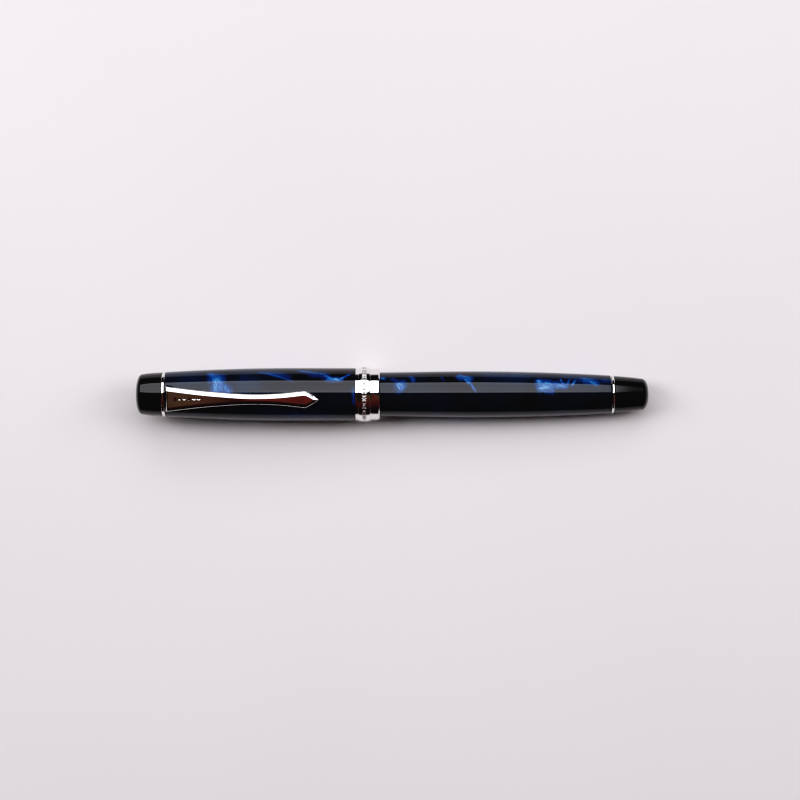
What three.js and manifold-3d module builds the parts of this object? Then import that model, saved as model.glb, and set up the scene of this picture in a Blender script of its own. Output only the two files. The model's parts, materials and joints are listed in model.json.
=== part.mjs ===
// A fountain pen with a screw cap, a sprung clip and a twist converter, lying on its side.
//
// Stations are distances in millimetres along the pen from the crown's flat end, and heights are
// distances from the pen's axis. Every piece is drawn with the axis along +X. The last lines move
// the pen so that its belt rests on the ground and its length is centred on the origin.

import * as THREE from 'three';
import { mergeVertices } from 'three/addons/utils/BufferGeometryUtils.js';
import Module from 'manifold-3d';

const wasm = await Module();
wasm.setup();

// ------------------------------------------------------------------ fits

const RUN = 0.1; // radial clearance of pieces that slide or turn in each other
const SEAT = 0.1; // axial gap of pieces that seat on each other
const LIP_SEAL = 0.3; // gap between the inner cap's rim and the section's front

// ------------------------------------------------------------------ radii, from the ink outwards

const CONVERTER_BORE = 2.6;
const TUBE_WALL = 0.6;
const FERRULE_WALL = 0.3;
const COLLAR_WALL = 0.3; // thread collar, between its bore and its thread's root
const COLLAR_PRESS_WALL = 0.5; // thread collar, where it sits inside the section
const SECTION_THREAD_DEPTH = 0.3;
const NECK_WALL = 0.65; // barrel neck, between its inner and outer threads
const CAP_THREAD_DEPTH = 0.35;
const SHOULDER_STEP = 0.6; // from the neck's thread up to the barrel's visible skin
const SPIGOT_WALL = 0.65; // cap shell inside the band, outside the thread
const BAND_WALL = 0.48;
const BELT_RISE = 0.37; // raised belt above the band's collar, at its middle
const BELT_CROWN = 0.15; // how much lower the belt is at its edges
const BAND_LIP_DROP = 0.1; // plain lip below the band's collar
const FEED_RADIUS = 2.85;
const INNER_CAP_WALL = 0.7;
const INNER_CAP_STEP = 0.35; // cap's main bore above the bore that holds the inner cap
const SECTION_TAPER = 0.45; // rear of the grip above its waist
const SECTION_LIP_RISE = 0.28; // flared lip above the waist
const SECTION_NOSE_ROUND = 0.58;
const BARREL_SWELL = 0.27; // fullest part of the barrel above its shoulder
const BARREL_TAPER = 1.1; // fullest part above the end at the tail ring
const CAP_BELLY_RISE = 0.1; // fullest part of the cap shell above the band's collar
const CAP_TAPER = 1.1; // fullest part above the end at the crown ring
const RING_PROUD = 0.05; // thin rings above what they sit beside
const CROWN_INSET = 0.1; // crown's rear edge below the shell
const CROWN_TAPER = 0.46; // crown's rear edge above its rounded corner
const CROWN_FLAT = 2.2; // radius of the crown's flat end
const TAIL_INSET = 0.14;
const TAIL_TAPER = 0.83;
const TAIL_FLAT = 1.2;
const TAIL_SPIGOT_RADIUS = 2.9;
const SCREW_SHANK = 1.7;
const SCREW_HEAD = 3.2;
const NIPPLE_RADIUS = 1.5;
const NIPPLE_BORE = 0.8;
const ROD_CORE = 0.85;
const ROD_THREAD_DEPTH = 0.5;
const KNOB_GRIP_EXTRA = 0.1; // knob's grip above the converter tube
const KNOB_NECK_STEP = 0.7; // knob's neck below the bore of the ferrule

// ------------------------------------------------------------------ lengths

const CROWN_LENGTH = 6.9;
const CROWN_ROUND = 1.5;
const RING_THICKNESS = 0.8;
const CLIP_WASHER_THICKNESS = 0.5;
const WEB_THICKNESS = 1.5; // cap shell's wall between the clip washer and the inner cap
const INNER_CAP_END = 1.2;
const SCREW_BITE = 3.7; // screw's depth in the crown
const SCREW_HEAD_LENGTH = 1.1;
const NIB_ROOM = 2.4; // from the screw's head to the nib's point
const NIB_REACH = 16.9; // how far the nib's point stands out of the section
const SECTION_LENGTH = 22.6;
const NECK_LENGTH = 8.7;
const MOUTH_OVERLAP = 1.85; // cap's mouth past the barrel's shoulder
const BAND_LENGTH = 6.5;
const BAND_COLLAR = 1.0;
const BELT_LENGTH = 3.05;
const BAND_FLANGE = 0.3; // band turned in over the shell's edge at the mouth
const FEED_BACK = 11.9; // feed's rear end behind the section's front
const NIPPLE_FLANGE = 1.4;
const NIPPLE_REACH = 3.7; // nipple's tube behind its flange
const CONVERTER_SETBACK = 0.7; // converter's mouth behind the nipple's flange
const TUBE_LENGTH = 32;
const TUBE_MOUTH_WALL = 1.2;
const SOCKET_DEPTH = 2.6; // bore for the converter between the nipple and the thread collar
const FERRULE_LENGTH = 14;
const FERRULE_LAP = 4; // ferrule over the tube's rear end
const FERRULE_LIP = 0.8;
const GUIDE_THICKNESS = 2.8;
const KNOB_FLANGE = 2.5;
const KNOB_GRIP_LENGTH = 15.7;
const KNOB_END_WALL = 1.0;
const SEAL_LENGTH = 4;
const SEAL_SETBACK = 2; // drawn-back seal in front of the tube's rear end
const CONVERTER_PULL = 15; // travel the barrel leaves for pulling the converter off
const BARREL_END_ROOM = 2.55;
const BARREL_END_WALL = 1.05;
const TAIL_SPIGOT = 4.2;
const TAIL_LENGTH = 9.15;
const TAIL_ROUND = 1.8;

// ------------------------------------------------------------------ threads

const CAP_THREAD = { lead: 2.4, starts: 2, turns: 1.5, foot: 0.8, crest: 0.35, steps: 24 };
const SECTION_THREAD = { lead: 1.25, starts: 1, turns: 3.5, foot: 0.85, crest: 0.35, steps: 18 };
const ROD_THREAD = { lead: 3.0, starts: 1, turns: 8, foot: 1.0, crest: 0.5, steps: 8 };
const NUT_TURNS = 1;
const CAP_THREAD_SETBACK = 2.6; // start of the cap's thread behind the barrel's front
const SECTION_THREAD_SETBACK = 0.6;
const THREAD_ROOT = 0.15; // how deep a thread's foot is sunk in the wall that carries it
const THREAD_RELIEF = 0.4; // plain groove at each end of an inner thread

// ------------------------------------------------------------------ clip

const CLIP_ROLL = THREE.MathUtils.degToRad(10); // cap's turn about the pen's axis
const CLIP_LENGTH = 40.6;
const CLIP_SETBACK = 0.5; // clip's root behind the shell's front edge
const CLIP_ROOT_WIDTH = 6.57;
const CLIP_WAIST_WIDTH = 2.72;
const CLIP_HEAD_WIDTH = 4.54;
const CLIP_WAIST_AT = 22.8; // waist and head, from the clip's root
const CLIP_HEAD_AT = 36.8;
const CLIP_THICKNESS = 0.8;
const CLIP_ROOT_LENGTH = 1.4;
const CLIP_RISE = 2.2; // top of the root above the shell's front edge
const CLIP_HEAD_RISE = 1.6; // top of the head above the shell under it
const CLIP_BALL_GAP = 0.12; // contact lump above the shell
const CLIP_BALL_LENGTH = 4;
const CLIP_FOOT_GAP = 0.15;
const TAB_WIDTH = 3.2;

// ------------------------------------------------------------------ nib and feed

const NIB_THICKNESS = 0.35;
const NIB_SHOULDER_HALF_WIDTH = 3.05;
const NIB_BASE_HALF_WIDTH = 2.2;
const NIB_BACK = 8.1; // nib's base behind the section's front
const NIB_SHOULDER_SPREAD = 0.55; // how much flatter the sheet's arc is at the shoulders
const NIB_TIP_HEIGHT = 1.3;
const NIB_SLIT = 0.15;
const BREATHER_RADIUS = 0.5;
const TIPPING_RADIUS = 0.35;
const FIN_SLOTS = 8;
const FIN_SLOT_WIDTH = 0.35;
const FIN_PITCH = 1.15;
const FEED_NOSE_SETBACK = 5.6; // feed's nose behind the nib's point

// ------------------------------------------------------------------ facets

const ROUND_SIDES = 24;
const BAND_SIDES = 36; // the band carries the pen, so it is rounder
const SMALL_SIDES = 12;
const CURVE_STEPS = 8;
const CORNER_STEPS = 3;

// ------------------------------------------------------------------ radii that follow

const tubeRadius = CONVERTER_BORE + TUBE_WALL;
const socketRadius = tubeRadius + RUN;
const ferruleRadius = socketRadius + FERRULE_WALL;
const collarPressRadius = socketRadius + COLLAR_PRESS_WALL;
const collarCore = socketRadius + COLLAR_WALL;
const collarCrest = collarCore + SECTION_THREAD_DEPTH;
const barrelThreadCrest = collarCrest + RUN;
const barrelThreadRoot = barrelThreadCrest + SECTION_THREAD_DEPTH;
const cavityRadius = Math.max(collarCrest, ferruleRadius + 3 * RUN);
const neckCore = barrelThreadRoot + NECK_WALL;
const neckCrest = neckCore + CAP_THREAD_DEPTH;
const shoulderRadius = neckCrest + SHOULDER_STEP;
const capBore = neckCrest + RUN;
const capThreadRoot = capBore + CAP_THREAD_DEPTH;
const mouthBore = shoulderRadius + RUN;
const spigotRadius = Math.max(capThreadRoot + SPIGOT_WALL, mouthBore + 0.4);
const bandBore = spigotRadius + RUN;
const bandRadius = bandBore + BAND_WALL;
const beltRadius = bandRadius + BELT_RISE;
const bandLipRadius = bandRadius - BAND_LIP_DROP;
const shellBelly = bandRadius + CAP_BELLY_RISE;
const shellFront = shellBelly - CAP_TAPER;
const innerCapBore = capBore - INNER_CAP_STEP;
const innerCapRadius = innerCapBore - RUN;
const innerCapInside = innerCapRadius - INNER_CAP_WALL;
const crownRear = shellFront - CROWN_INSET;
const crownCorner = crownRear - CROWN_TAPER;
const crownSpigot = crownRear - 1.0;
const sectionWaist = neckCore - SECTION_TAPER;
const sectionLip = sectionWaist + SECTION_LIP_RISE;
const sectionNose = sectionLip - SECTION_NOSE_ROUND;
const feedBore = FEED_RADIUS + RUN;
const barrelBelly = shoulderRadius + BARREL_SWELL;
const barrelRear = barrelBelly - BARREL_TAPER;
const tailFront = barrelRear - TAIL_INSET;
const tailCorner = tailFront - TAIL_TAPER;
const rodCrest = ROD_CORE + ROD_THREAD_DEPTH;
const knobBore = rodCrest + 1.5 * RUN;

// ------------------------------------------------------------------ stations that follow

const crownEnd = CROWN_LENGTH;
const ringStart = crownEnd + SEAT;
const ringEnd = ringStart + RING_THICKNESS;
const shellStart = ringEnd + SEAT;
const washerStart = shellStart + SEAT;
const washerEnd = washerStart + CLIP_WASHER_THICKNESS;
const webStart = washerEnd + SEAT;
const webEnd = webStart + WEB_THICKNESS;
const innerCapStart = webEnd + SEAT;
const innerCapFloor = innerCapStart + INNER_CAP_END;
const screwHeadStart = innerCapFloor + SEAT;
const screwHeadEnd = screwHeadStart + SCREW_HEAD_LENGTH;
const nibPoint = screwHeadEnd + NIB_ROOM;
const sectionFront = nibPoint + NIB_REACH;
const innerCapRim = sectionFront - LIP_SEAL;
const sectionRear = sectionFront + SECTION_LENGTH;
const barrelFront = sectionRear + SEAT;
const shoulder = barrelFront + NECK_LENGTH;
const capMouth = shoulder + MOUTH_OVERLAP;
const bandStart = capMouth - BAND_LENGTH;
const shellEnd = bandStart - SEAT / 2;
const spigotEnd = capMouth - BAND_FLANGE - SEAT;
const capThreadStart = barrelFront + CAP_THREAD_SETBACK;
const capThreadEnd = capThreadStart + CAP_THREAD.lead * CAP_THREAD.turns;
const sectionThreadStart = barrelFront + SECTION_THREAD_SETBACK;
const sectionThreadEnd = sectionThreadStart + SECTION_THREAD.lead * SECTION_THREAD.turns;
const collarEnd = sectionThreadEnd + SECTION_THREAD_SETBACK;
const nibBase = sectionFront + NIB_BACK;
const feedNose = nibPoint + FEED_NOSE_SETBACK;
const feedRear = sectionFront + FEED_BACK;
const nippleFront = feedRear + SEAT;
const nippleFlangeEnd = nippleFront + NIPPLE_FLANGE;
const nippleEnd = nippleFlangeEnd + NIPPLE_REACH;
const socketStart = nippleFlangeEnd + SEAT;
const socketEnd = socketStart + SOCKET_DEPTH;
const tubeStart = nippleFlangeEnd + CONVERTER_SETBACK;
const tubeEnd = tubeStart + TUBE_LENGTH;
const ferruleStart = tubeEnd - FERRULE_LAP;
const ferruleEnd = ferruleStart + FERRULE_LENGTH;
const guideStart = tubeEnd + 2 * SEAT;
const guideEnd = guideStart + GUIDE_THICKNESS;
const knobStart = guideEnd + SEAT;
const gripStart = ferruleEnd + 3 * SEAT;
const knobEnd = gripStart + KNOB_GRIP_LENGTH;
const sealEnd = tubeEnd - SEAL_SETBACK;
const sealStart = sealEnd - SEAL_LENGTH;
const rodStart = sealStart + 1.2;
const rodThreadStart = guideStart - 1.1;
const rodThreadEnd = rodThreadStart + ROD_THREAD.lead * ROD_THREAD.turns;
const rodEnd = rodThreadEnd + 0.9;
const nutStart = rodThreadStart + 1.5 * ROD_THREAD.lead;
const cavityEnd = knobEnd + CONVERTER_PULL + BARREL_END_ROOM;
const tailBoreStart = cavityEnd + BARREL_END_WALL;
const barrelRearEnd = tailBoreStart + TAIL_SPIGOT + SEAT / 2;
const tailRingStart = barrelRearEnd + SEAT;
const tailRingEnd = tailRingStart + RING_THICKNESS;
const tailStart = tailRingEnd + SEAT;
const penLength = tailStart + TAIL_LENGTH;

// ------------------------------------------------------------------ outlines and solids

const point = ([station, height]) => new THREE.Vector2(station, height);
const pair = ({ x, y }) => [x, y];

/** A parabola from one [station, height] to another, pulled towards a third. */
function bend(start, pull, end, steps = CURVE_STEPS) {
  const curve = new THREE.QuadraticBezierCurve(point(start), point(pull), point(end));
  return curve.getPoints(steps).map(pair);
}

/** An S-shaped curve that leaves and arrives along the lines to its two handles. */
function easing(start, leave, arrive, end, steps = CURVE_STEPS) {
  const curve = new THREE.CubicBezierCurve(point(start), point(leave), point(arrive), point(end));
  return curve.getPoints(steps).map(pair);
}

/** A quarter ellipse from the rim of a flat end round to the side of a bar. */
function roundedEnd(tip, base, flatRadius, radius) {
  const corner = [];
  for (let step = 0; step <= CORNER_STEPS; step += 1) {
    const angle = (step / CORNER_STEPS) * (Math.PI / 2);
    const station = base + (tip - base) * Math.cos(angle);
    corner.push([station, flatRadius + (radius - flatRadius) * Math.sin(angle)]);
  }
  return corner;
}

/**
 * A turned piece, with a flat facet underneath. The outline runs up the outside and starts and
 * ends on the axis.
 */
function turned(outline, sides = ROUND_SIDES) {
  const points = outline.map(([station, radius]) => new THREE.Vector2(radius, station));
  return new THREE.LatheGeometry(points, sides, Math.PI / sides).rotateZ(-Math.PI / 2);
}

/** A turned piece with an open bore: its outline closes on itself. */
function turnedRing(outline, sides = ROUND_SIDES) {
  return turned([...outline, outline[0]], sides);
}

/** A plain washer or sleeve. */
function sleeve(start, end, inner, outer, sides = ROUND_SIDES) {
  return turnedRing([[start, outer], [end, outer], [end, inner], [start, inner]], sides);
}

function toSolid(geometry) {
  const bare = geometry.index ? geometry.clone() : mergeVertices(geometry);
  bare.deleteAttribute('normal');
  bare.deleteAttribute('uv');
  const merged = mergeVertices(bare);
  const corners = merged.index.array;
  const triangles = [];
  for (let i = 0; i < corners.length; i += 3) {
    const [a, b, c] = [corners[i], corners[i + 1], corners[i + 2]];
    if (a !== b && b !== c && c !== a) triangles.push(a, b, c);
  }
  const vertProperties = new Float32Array(merged.attributes.position.array);
  const build = (list) => new wasm.Manifold(
    new wasm.Mesh({ numProp: 3, vertProperties, triVerts: new Uint32Array(list) }),
  );
  const solid = build(triangles);
  return solid.volume() < 0 ? build(triangles.reverse()) : solid;
}

function toGeometry(solid) {
  const { vertProperties, triVerts } = solid.getMesh();
  const geometry = new THREE.BufferGeometry();
  geometry.setAttribute('position', new THREE.BufferAttribute(vertProperties, 3));
  geometry.setIndex(new THREE.BufferAttribute(triVerts, 1));
  return geometry;
}

/** A box between two corners, each an [x, y, z]. */
function block(low, high) {
  const size = high.map((value, axis) => value - low[axis]);
  const middle = high.map((value, axis) => (value + low[axis]) / 2);
  return toSolid(new THREE.BoxGeometry(...size).translate(...middle));
}

/** One body made of rows of points, each row a closed loop, with flat ends. */
function skinned(rows) {
  const corners = rows[0].length;
  const positions = rows.flat(2);
  const triangles = [];
  for (let row = 0; row + 1 < rows.length; row += 1) {
    for (let i = 0; i < corners; i += 1) {
      const next = (i + 1) % corners;
      const [a, b] = [row * corners + i, row * corners + next];
      triangles.push(a, b, b + corners, a, b + corners, a + corners);
    }
  }
  const last = (rows.length - 1) * corners;
  for (let i = 1; i < corners / 2; i += 1) {
    const [a, b, c, d] = [i - 1, i, corners - 1 - i, corners - i];
    triangles.push(a, c, b, a, d, c);
    triangles.push(last + a, last + b, last + c, last + a, last + c, last + d);
  }
  const geometry = new THREE.BufferGeometry();
  geometry.setAttribute('position', new THREE.Float32BufferAttribute(positions, 3));
  geometry.setIndex(triangles);
  return geometry;
}

/** Right-handed thread ridges that fade into the wall at both ends. */
function threadRidges(thread, start, turns, rootRadius, crestRadius) {
  const outward = Math.sign(crestRadius - rootRadius);
  const foot = rootRadius - outward * THREAD_ROOT;
  const steps = Math.round(turns * thread.steps);
  let ridges = null;
  for (let entry = 0; entry < thread.starts; entry += 1) {
    const rows = [];
    for (let step = 0; step <= steps; step += 1) {
      const turn = (step + 0.5) / thread.steps + entry / thread.starts;
      const angle = turn * 2 * Math.PI;
      const fade = Math.min(1, (4 * Math.min(step, steps - step)) / thread.steps);
      const crest = THREE.MathUtils.lerp(rootRadius - (outward * THREAD_ROOT) / 3, crestRadius, fade);
      const station = start + (thread.lead * step) / thread.steps;
      const at = (shift, radius) => [
        station + shift, -radius * Math.sin(angle), radius * Math.cos(angle),
      ];
      rows.push([
        at(-thread.foot / 2, foot),
        at(-thread.crest / 2, crest),
        at(thread.crest / 2, crest),
        at(thread.foot / 2, foot),
      ]);
    }
    const ridge = toSolid(skinned(rows));
    ridges = ridges ? ridges.add(ridge) : ridge;
  }
  return ridges;
}

// ------------------------------------------------------------------ cap

function crown() {
  return turned([
    [0, 0],
    ...roundedEnd(0, CROWN_ROUND, CROWN_FLAT, crownCorner),
    ...bend(
      [CROWN_ROUND, crownCorner],
      [crownEnd / 2, crownRear - CROWN_TAPER / 4],
      [crownEnd, crownRear],
      3,
    ).slice(1),
    [crownEnd, crownSpigot],
    [ringEnd, crownSpigot],
    [ringEnd, SCREW_SHANK + RUN],
    [crownEnd - SCREW_BITE - SEAT, SCREW_SHANK + RUN],
    [crownEnd - SCREW_BITE - SEAT, 0],
  ]);
}

/** A thin half-round ring round a spigot. */
function trimRing(start, bore, radius) {
  const end = start + RING_THICKNESS;
  return turnedRing([
    [start, radius - RING_PROUD],
    ...bend([start + 0.1, radius], [(start + end) / 2, radius + RING_PROUD], [end - 0.1, radius], 2),
    [end, radius - RING_PROUD],
    [end, bore],
    [start, bore],
  ]);
}

function crownScrew() {
  const slot = block(
    [screwHeadEnd - SCREW_HEAD_LENGTH / 2, -SCREW_HEAD - 1, -0.4],
    [screwHeadEnd + 1, SCREW_HEAD + 1, 0.4],
  );
  const screw = turned([
    [crownEnd - SCREW_BITE, 0],
    [crownEnd - SCREW_BITE, SCREW_SHANK],
    [screwHeadStart, SCREW_SHANK],
    [screwHeadStart, SCREW_HEAD],
    [screwHeadEnd, SCREW_HEAD],
    [screwHeadEnd, 0],
  ], SMALL_SIDES);
  return toGeometry(toSolid(screw).subtract(slot));
}

const washerRadius = crownSpigot - 0.5;
const clipHole = SCREW_SHANK + 5 * RUN;
const tabReach = shellFront - 0.13;

/** Washer and tab that anchor the clip under the crown. */
function clipMount() {
  const washer = toSolid(sleeve(washerStart, washerEnd, clipHole, washerRadius));
  const tab = block(
    [washerStart, -TAB_WIDTH / 2, washerRadius - 1],
    [washerEnd, TAB_WIDTH / 2, tabReach],
  );
  return toGeometry(washer.add(tab));
}

const shellFull = (shellStart + bandStart) / 2 + 9.75; // station where the cap shell is fullest

/** Outside of the cap shell, from its front edge to the band. */
function shellOutside() {
  const front = [shellStart, shellFront];
  const pull = [(shellStart + shellFull) / 2, shellBelly];
  return [
    ...bend(front, pull, [shellFull, shellBelly], 5),
    [shellEnd, shellBelly - 0.04],
  ];
}

/** Height of the cap shell's skin at a station in front of its fullest part. */
function shellHeight(station) {
  const along = THREE.MathUtils.clamp((station - shellStart) / (shellFull - shellStart), 0, 1);
  return shellBelly - CAP_TAPER * (1 - along) ** 2;
}

function capShell() {
  const body = toSolid(turnedRing([
    ...shellOutside(),
    [shellEnd, spigotRadius],
    [spigotEnd, spigotRadius],
    [spigotEnd, mouthBore],
    [shoulder - SEAT, mouthBore],
    [shoulder - SEAT, capBore],
    [capThreadEnd + THREAD_RELIEF, capBore],
    [capThreadEnd + THREAD_RELIEF, capThreadRoot],
    [capThreadStart - THREAD_RELIEF, capThreadRoot],
    [capThreadStart - THREAD_RELIEF, capBore],
    [sectionFront + SEAT, capBore],
    [sectionFront + SEAT, innerCapBore],
    [webEnd, innerCapBore],
    [webEnd, clipHole],
    [webStart, clipHole],
    [webStart, washerRadius + RUN],
    [shellStart, washerRadius + RUN],
  ]));
  const notch = block(
    [shellStart - 1, -TAB_WIDTH / 2 - RUN, washerRadius - 1],
    [webStart, TAB_WIDTH / 2 + RUN, shellFront + 1],
  );
  const thread = threadRidges(
    CAP_THREAD, capThreadStart, CAP_THREAD.turns, capThreadRoot, capBore,
  );
  return toGeometry(body.subtract(notch).add(thread));
}

function innerCap() {
  return turnedRing([
    [innerCapStart, innerCapRadius],
    [innerCapRim, innerCapRadius],
    [innerCapRim, innerCapInside],
    [innerCapFloor, innerCapInside],
    [innerCapFloor, SCREW_SHANK + RUN],
    [innerCapStart, SCREW_SHANK + RUN],
  ]);
}

/** Wide band with a raised, slightly crowned belt and a plain lip turned in at the mouth. */
function capBand() {
  const beltStart = bandStart + BAND_COLLAR;
  const beltEnd = beltStart + BELT_LENGTH;
  const edge = beltRadius - BELT_CROWN;
  const belt = bend(
    [beltStart, edge],
    [(beltStart + beltEnd) / 2, beltRadius + BELT_CROWN],
    [beltEnd, edge],
    4,
  );
  return turnedRing([
    [bandStart, bandRadius],
    [beltStart, bandRadius],
    ...belt,
    [beltEnd, bandLipRadius],
    [capMouth - 0.25, bandLipRadius],
    [capMouth, bandLipRadius - 0.2],
    [capMouth, mouthBore],
    [capMouth - BAND_FLANGE, mouthBore],
    [capMouth - BAND_FLANGE, bandBore],
    [bandStart, bandBore],
  ], BAND_SIDES);
}

// ------------------------------------------------------------------ clip

const clipStart = shellStart + CLIP_SETBACK;
const clipEnd = clipStart + CLIP_LENGTH;

/** The clip seen from above, as a flat plate thick enough to cut it from. */
function clipPlan() {
  const edge = [
    ...easing(
      [clipStart, CLIP_ROOT_WIDTH / 2],
      [clipStart + CLIP_WAIST_AT * 0.45, CLIP_ROOT_WIDTH * 0.34],
      [clipStart + CLIP_WAIST_AT * 0.75, CLIP_WAIST_WIDTH / 2],
      [clipStart + CLIP_WAIST_AT, CLIP_WAIST_WIDTH / 2],
      10,
    ),
    ...easing(
      [clipStart + CLIP_WAIST_AT, CLIP_WAIST_WIDTH / 2],
      [clipStart + CLIP_WAIST_AT + 6, CLIP_WAIST_WIDTH / 2],
      [clipStart + CLIP_HEAD_AT - 4, CLIP_HEAD_WIDTH * 0.42],
      [clipStart + CLIP_HEAD_AT, CLIP_HEAD_WIDTH / 2],
      6,
    ).slice(1),
    ...bend(
      [clipStart + CLIP_HEAD_AT + 0.4, CLIP_HEAD_WIDTH * 0.48],
      [clipEnd - 1.7, CLIP_HEAD_WIDTH * 0.33],
      [clipEnd, 0.25],
      4,
    ),
  ];
  const mirrored = edge.map(([station, width]) => [station, -width]).reverse();
  const plate = new THREE.ExtrudeGeometry(
    new THREE.Shape([...edge, ...mirrored].map(point)),
    { depth: 4 * shellBelly, bevelEnabled: false },
  );
  return toSolid(plate);
}

/** The clip seen from the side: root, arm, head and the lump that grips a pocket's edge. */
function clipSide() {
  const rootTop = shellFront + CLIP_RISE;
  const headStation = clipStart + CLIP_HEAD_AT;
  const headTop = shellBelly + CLIP_HEAD_RISE;
  const lump = shellBelly + CLIP_BALL_GAP;
  const profile = [
    [clipStart, 0],
    [clipStart, rootTop - 1.7],
    ...bend([clipStart + 0.2, rootTop - 0.6], [clipStart + 0.4, rootTop], [clipStart + 1.5, rootTop], 3),
    [headStation, headTop],
    ...bend([clipEnd - 1.5, headTop - 0.3], [clipEnd, headTop - 0.5], [clipEnd, headTop - 1], 3),
    [clipEnd - 0.4, headTop - CLIP_THICKNESS - 0.4],
    ...bend(
      [headStation + 0.8 + CLIP_BALL_LENGTH / 2, headTop - CLIP_THICKNESS],
      [headStation + 0.8, 2 * lump - (headTop - CLIP_THICKNESS)],
      [headStation + 0.8 - CLIP_BALL_LENGTH / 2, headTop - CLIP_THICKNESS],
      6,
    ),
    [clipStart + CLIP_ROOT_LENGTH + 1, rootTop - CLIP_THICKNESS],
    [clipStart + CLIP_ROOT_LENGTH, rootTop - CLIP_THICKNESS - 0.8],
    [clipStart + CLIP_ROOT_LENGTH, 0],
  ];
  const slab = new THREE.ExtrudeGeometry(
    new THREE.Shape(profile.map(point)),
    { depth: 2 * CLIP_ROOT_WIDTH, bevelEnabled: false },
  );
  return toSolid(slab.rotateX(Math.PI / 2).translate(0, CLIP_ROOT_WIDTH, 0));
}

/** Sprung arm whose root straddles the cap shell like a saddle. */
function clipArm() {
  const saddle = toSolid(turned([
    [shellStart - 2, 0],
    [shellStart - 2, shellHeight(clipStart) + CLIP_FOOT_GAP],
    [clipStart + CLIP_ROOT_LENGTH + 1, shellHeight(clipStart + CLIP_ROOT_LENGTH + 1) + CLIP_FOOT_GAP],
    [clipStart + CLIP_ROOT_LENGTH + 1, 0],
  ]));
  const feetLimit = block(
    [0, -CLIP_ROOT_WIDTH, -shellFront],
    [clipEnd, CLIP_ROOT_WIDTH, shellFront - 1.1],
  );
  return toGeometry(clipSide().intersect(clipPlan()).subtract(saddle).subtract(feetLimit));
}

// ------------------------------------------------------------------ section, nib and feed

function section() {
  return turnedRing([
    [sectionFront, sectionNose],
    ...bend(
      [sectionFront + 0.1, sectionLip - 0.2],
      [sectionFront + 0.5, sectionLip + 0.05],
      [sectionFront + 1.5, sectionLip],
      3,
    ),
    ...easing(
      [sectionFront + 1.5, sectionLip],
      [sectionFront + 2.6, sectionLip - 0.1],
      [sectionFront + 3, sectionWaist],
      [sectionFront + 4.2, sectionWaist],
      3,
    ).slice(1),
    [sectionRear, neckCore],
    [sectionRear, collarPressRadius + RUN],
    [socketEnd, collarPressRadius + RUN],
    [socketEnd, socketRadius],
    [socketStart, socketRadius],
    [socketStart, feedBore],
    [sectionFront, feedBore],
  ]);
}

/** Metal collar pressed in the section, with the male thread that carries the barrel. */
function sectionThreadCollar() {
  const collar = toSolid(turnedRing([
    [socketEnd + SEAT, collarPressRadius],
    [sectionRear, collarPressRadius],
    [sectionRear, collarCore],
    [collarEnd, collarCore],
    [collarEnd, socketRadius],
    [socketEnd + SEAT, socketRadius],
  ]));
  const thread = threadRidges(
    SECTION_THREAD, sectionThreadStart, SECTION_THREAD.turns, collarCore, collarCrest,
  );
  return toGeometry(collar.add(thread));
}

/** The nib's outline and arch at stations from its base to its point. */
function nibRows() {
  const tip = nibPoint + 2 * TIPPING_RADIUS + SEAT;
  const reach = sectionFront - tip;
  const wide = NIB_SHOULDER_HALF_WIDTH;
  const flat = FEED_RADIUS + NIB_SHOULDER_SPREAD;
  return [
    [nibBase, NIB_BASE_HALF_WIDTH, FEED_RADIUS, FEED_RADIUS],
    [nibBase - NIB_BACK / 2, wide * 0.9, FEED_RADIUS, FEED_RADIUS],
    [sectionFront, wide * 0.92, FEED_RADIUS, FEED_RADIUS],
    [sectionFront - reach * 0.18, wide, flat, FEED_RADIUS],
    [sectionFront - reach * 0.34, wide * 0.95, flat, FEED_RADIUS * 0.95],
    [sectionFront - reach * 0.45, wide * 0.77, flat, FEED_RADIUS * 0.87],
    [sectionFront - reach * 0.56, wide * 0.6, flat, FEED_RADIUS * 0.77],
    [sectionFront - reach * 0.8, wide * 0.3, flat, NIB_TIP_HEIGHT * 1.25],
    [sectionFront - reach * 0.95, wide * 0.13, flat, NIB_TIP_HEIGHT * 1.06],
    [tip, wide * 0.075, flat, NIB_TIP_HEIGHT],
  ];
}

/** A sheet that follows the nib's arch, between two distances from its upper face. */
function nibSheet(above, below, spread) {
  const across = 8;
  const rows = nibRows().map(([station, halfWidth, radius, crownHeight]) => {
    const halfAngle = Math.asin(Math.min(0.98, (halfWidth + spread) / radius));
    const arc = (face) => Array.from({ length: across + 1 }, (_, i) => {
      const angle = halfAngle * (1 - (2 * i) / across);
      const height = crownHeight - radius + (radius + face) * Math.cos(angle);
      return [station, (radius + face) * Math.sin(angle), height];
    });
    return [...arc(above), ...arc(-below).reverse()];
  });
  return toSolid(skinned(rows));
}

function nib() {
  const breather = sectionFront - NIB_REACH * 0.26;
  const slit = block(
    [0, -NIB_SLIT / 2, 0],
    [breather, NIB_SLIT / 2, 2 * FEED_RADIUS],
  );
  const hole = toSolid(
    new THREE.CylinderGeometry(BREATHER_RADIUS, BREATHER_RADIUS, 2 * FEED_RADIUS, SMALL_SIDES)
      .rotateX(Math.PI / 2)
      .translate(breather, 0, FEED_RADIUS),
  );
  return toGeometry(nibSheet(0, NIB_THICKNESS, 0).subtract(slit).subtract(hole));
}

/** Hard bead at the nib's point. */
function nibTipping() {
  return new THREE.SphereGeometry(TIPPING_RADIUS, 12, 8)
    .translate(nibPoint + TIPPING_RADIUS, 0, NIB_TIP_HEIGHT - NIB_THICKNESS / 2);
}

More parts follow.
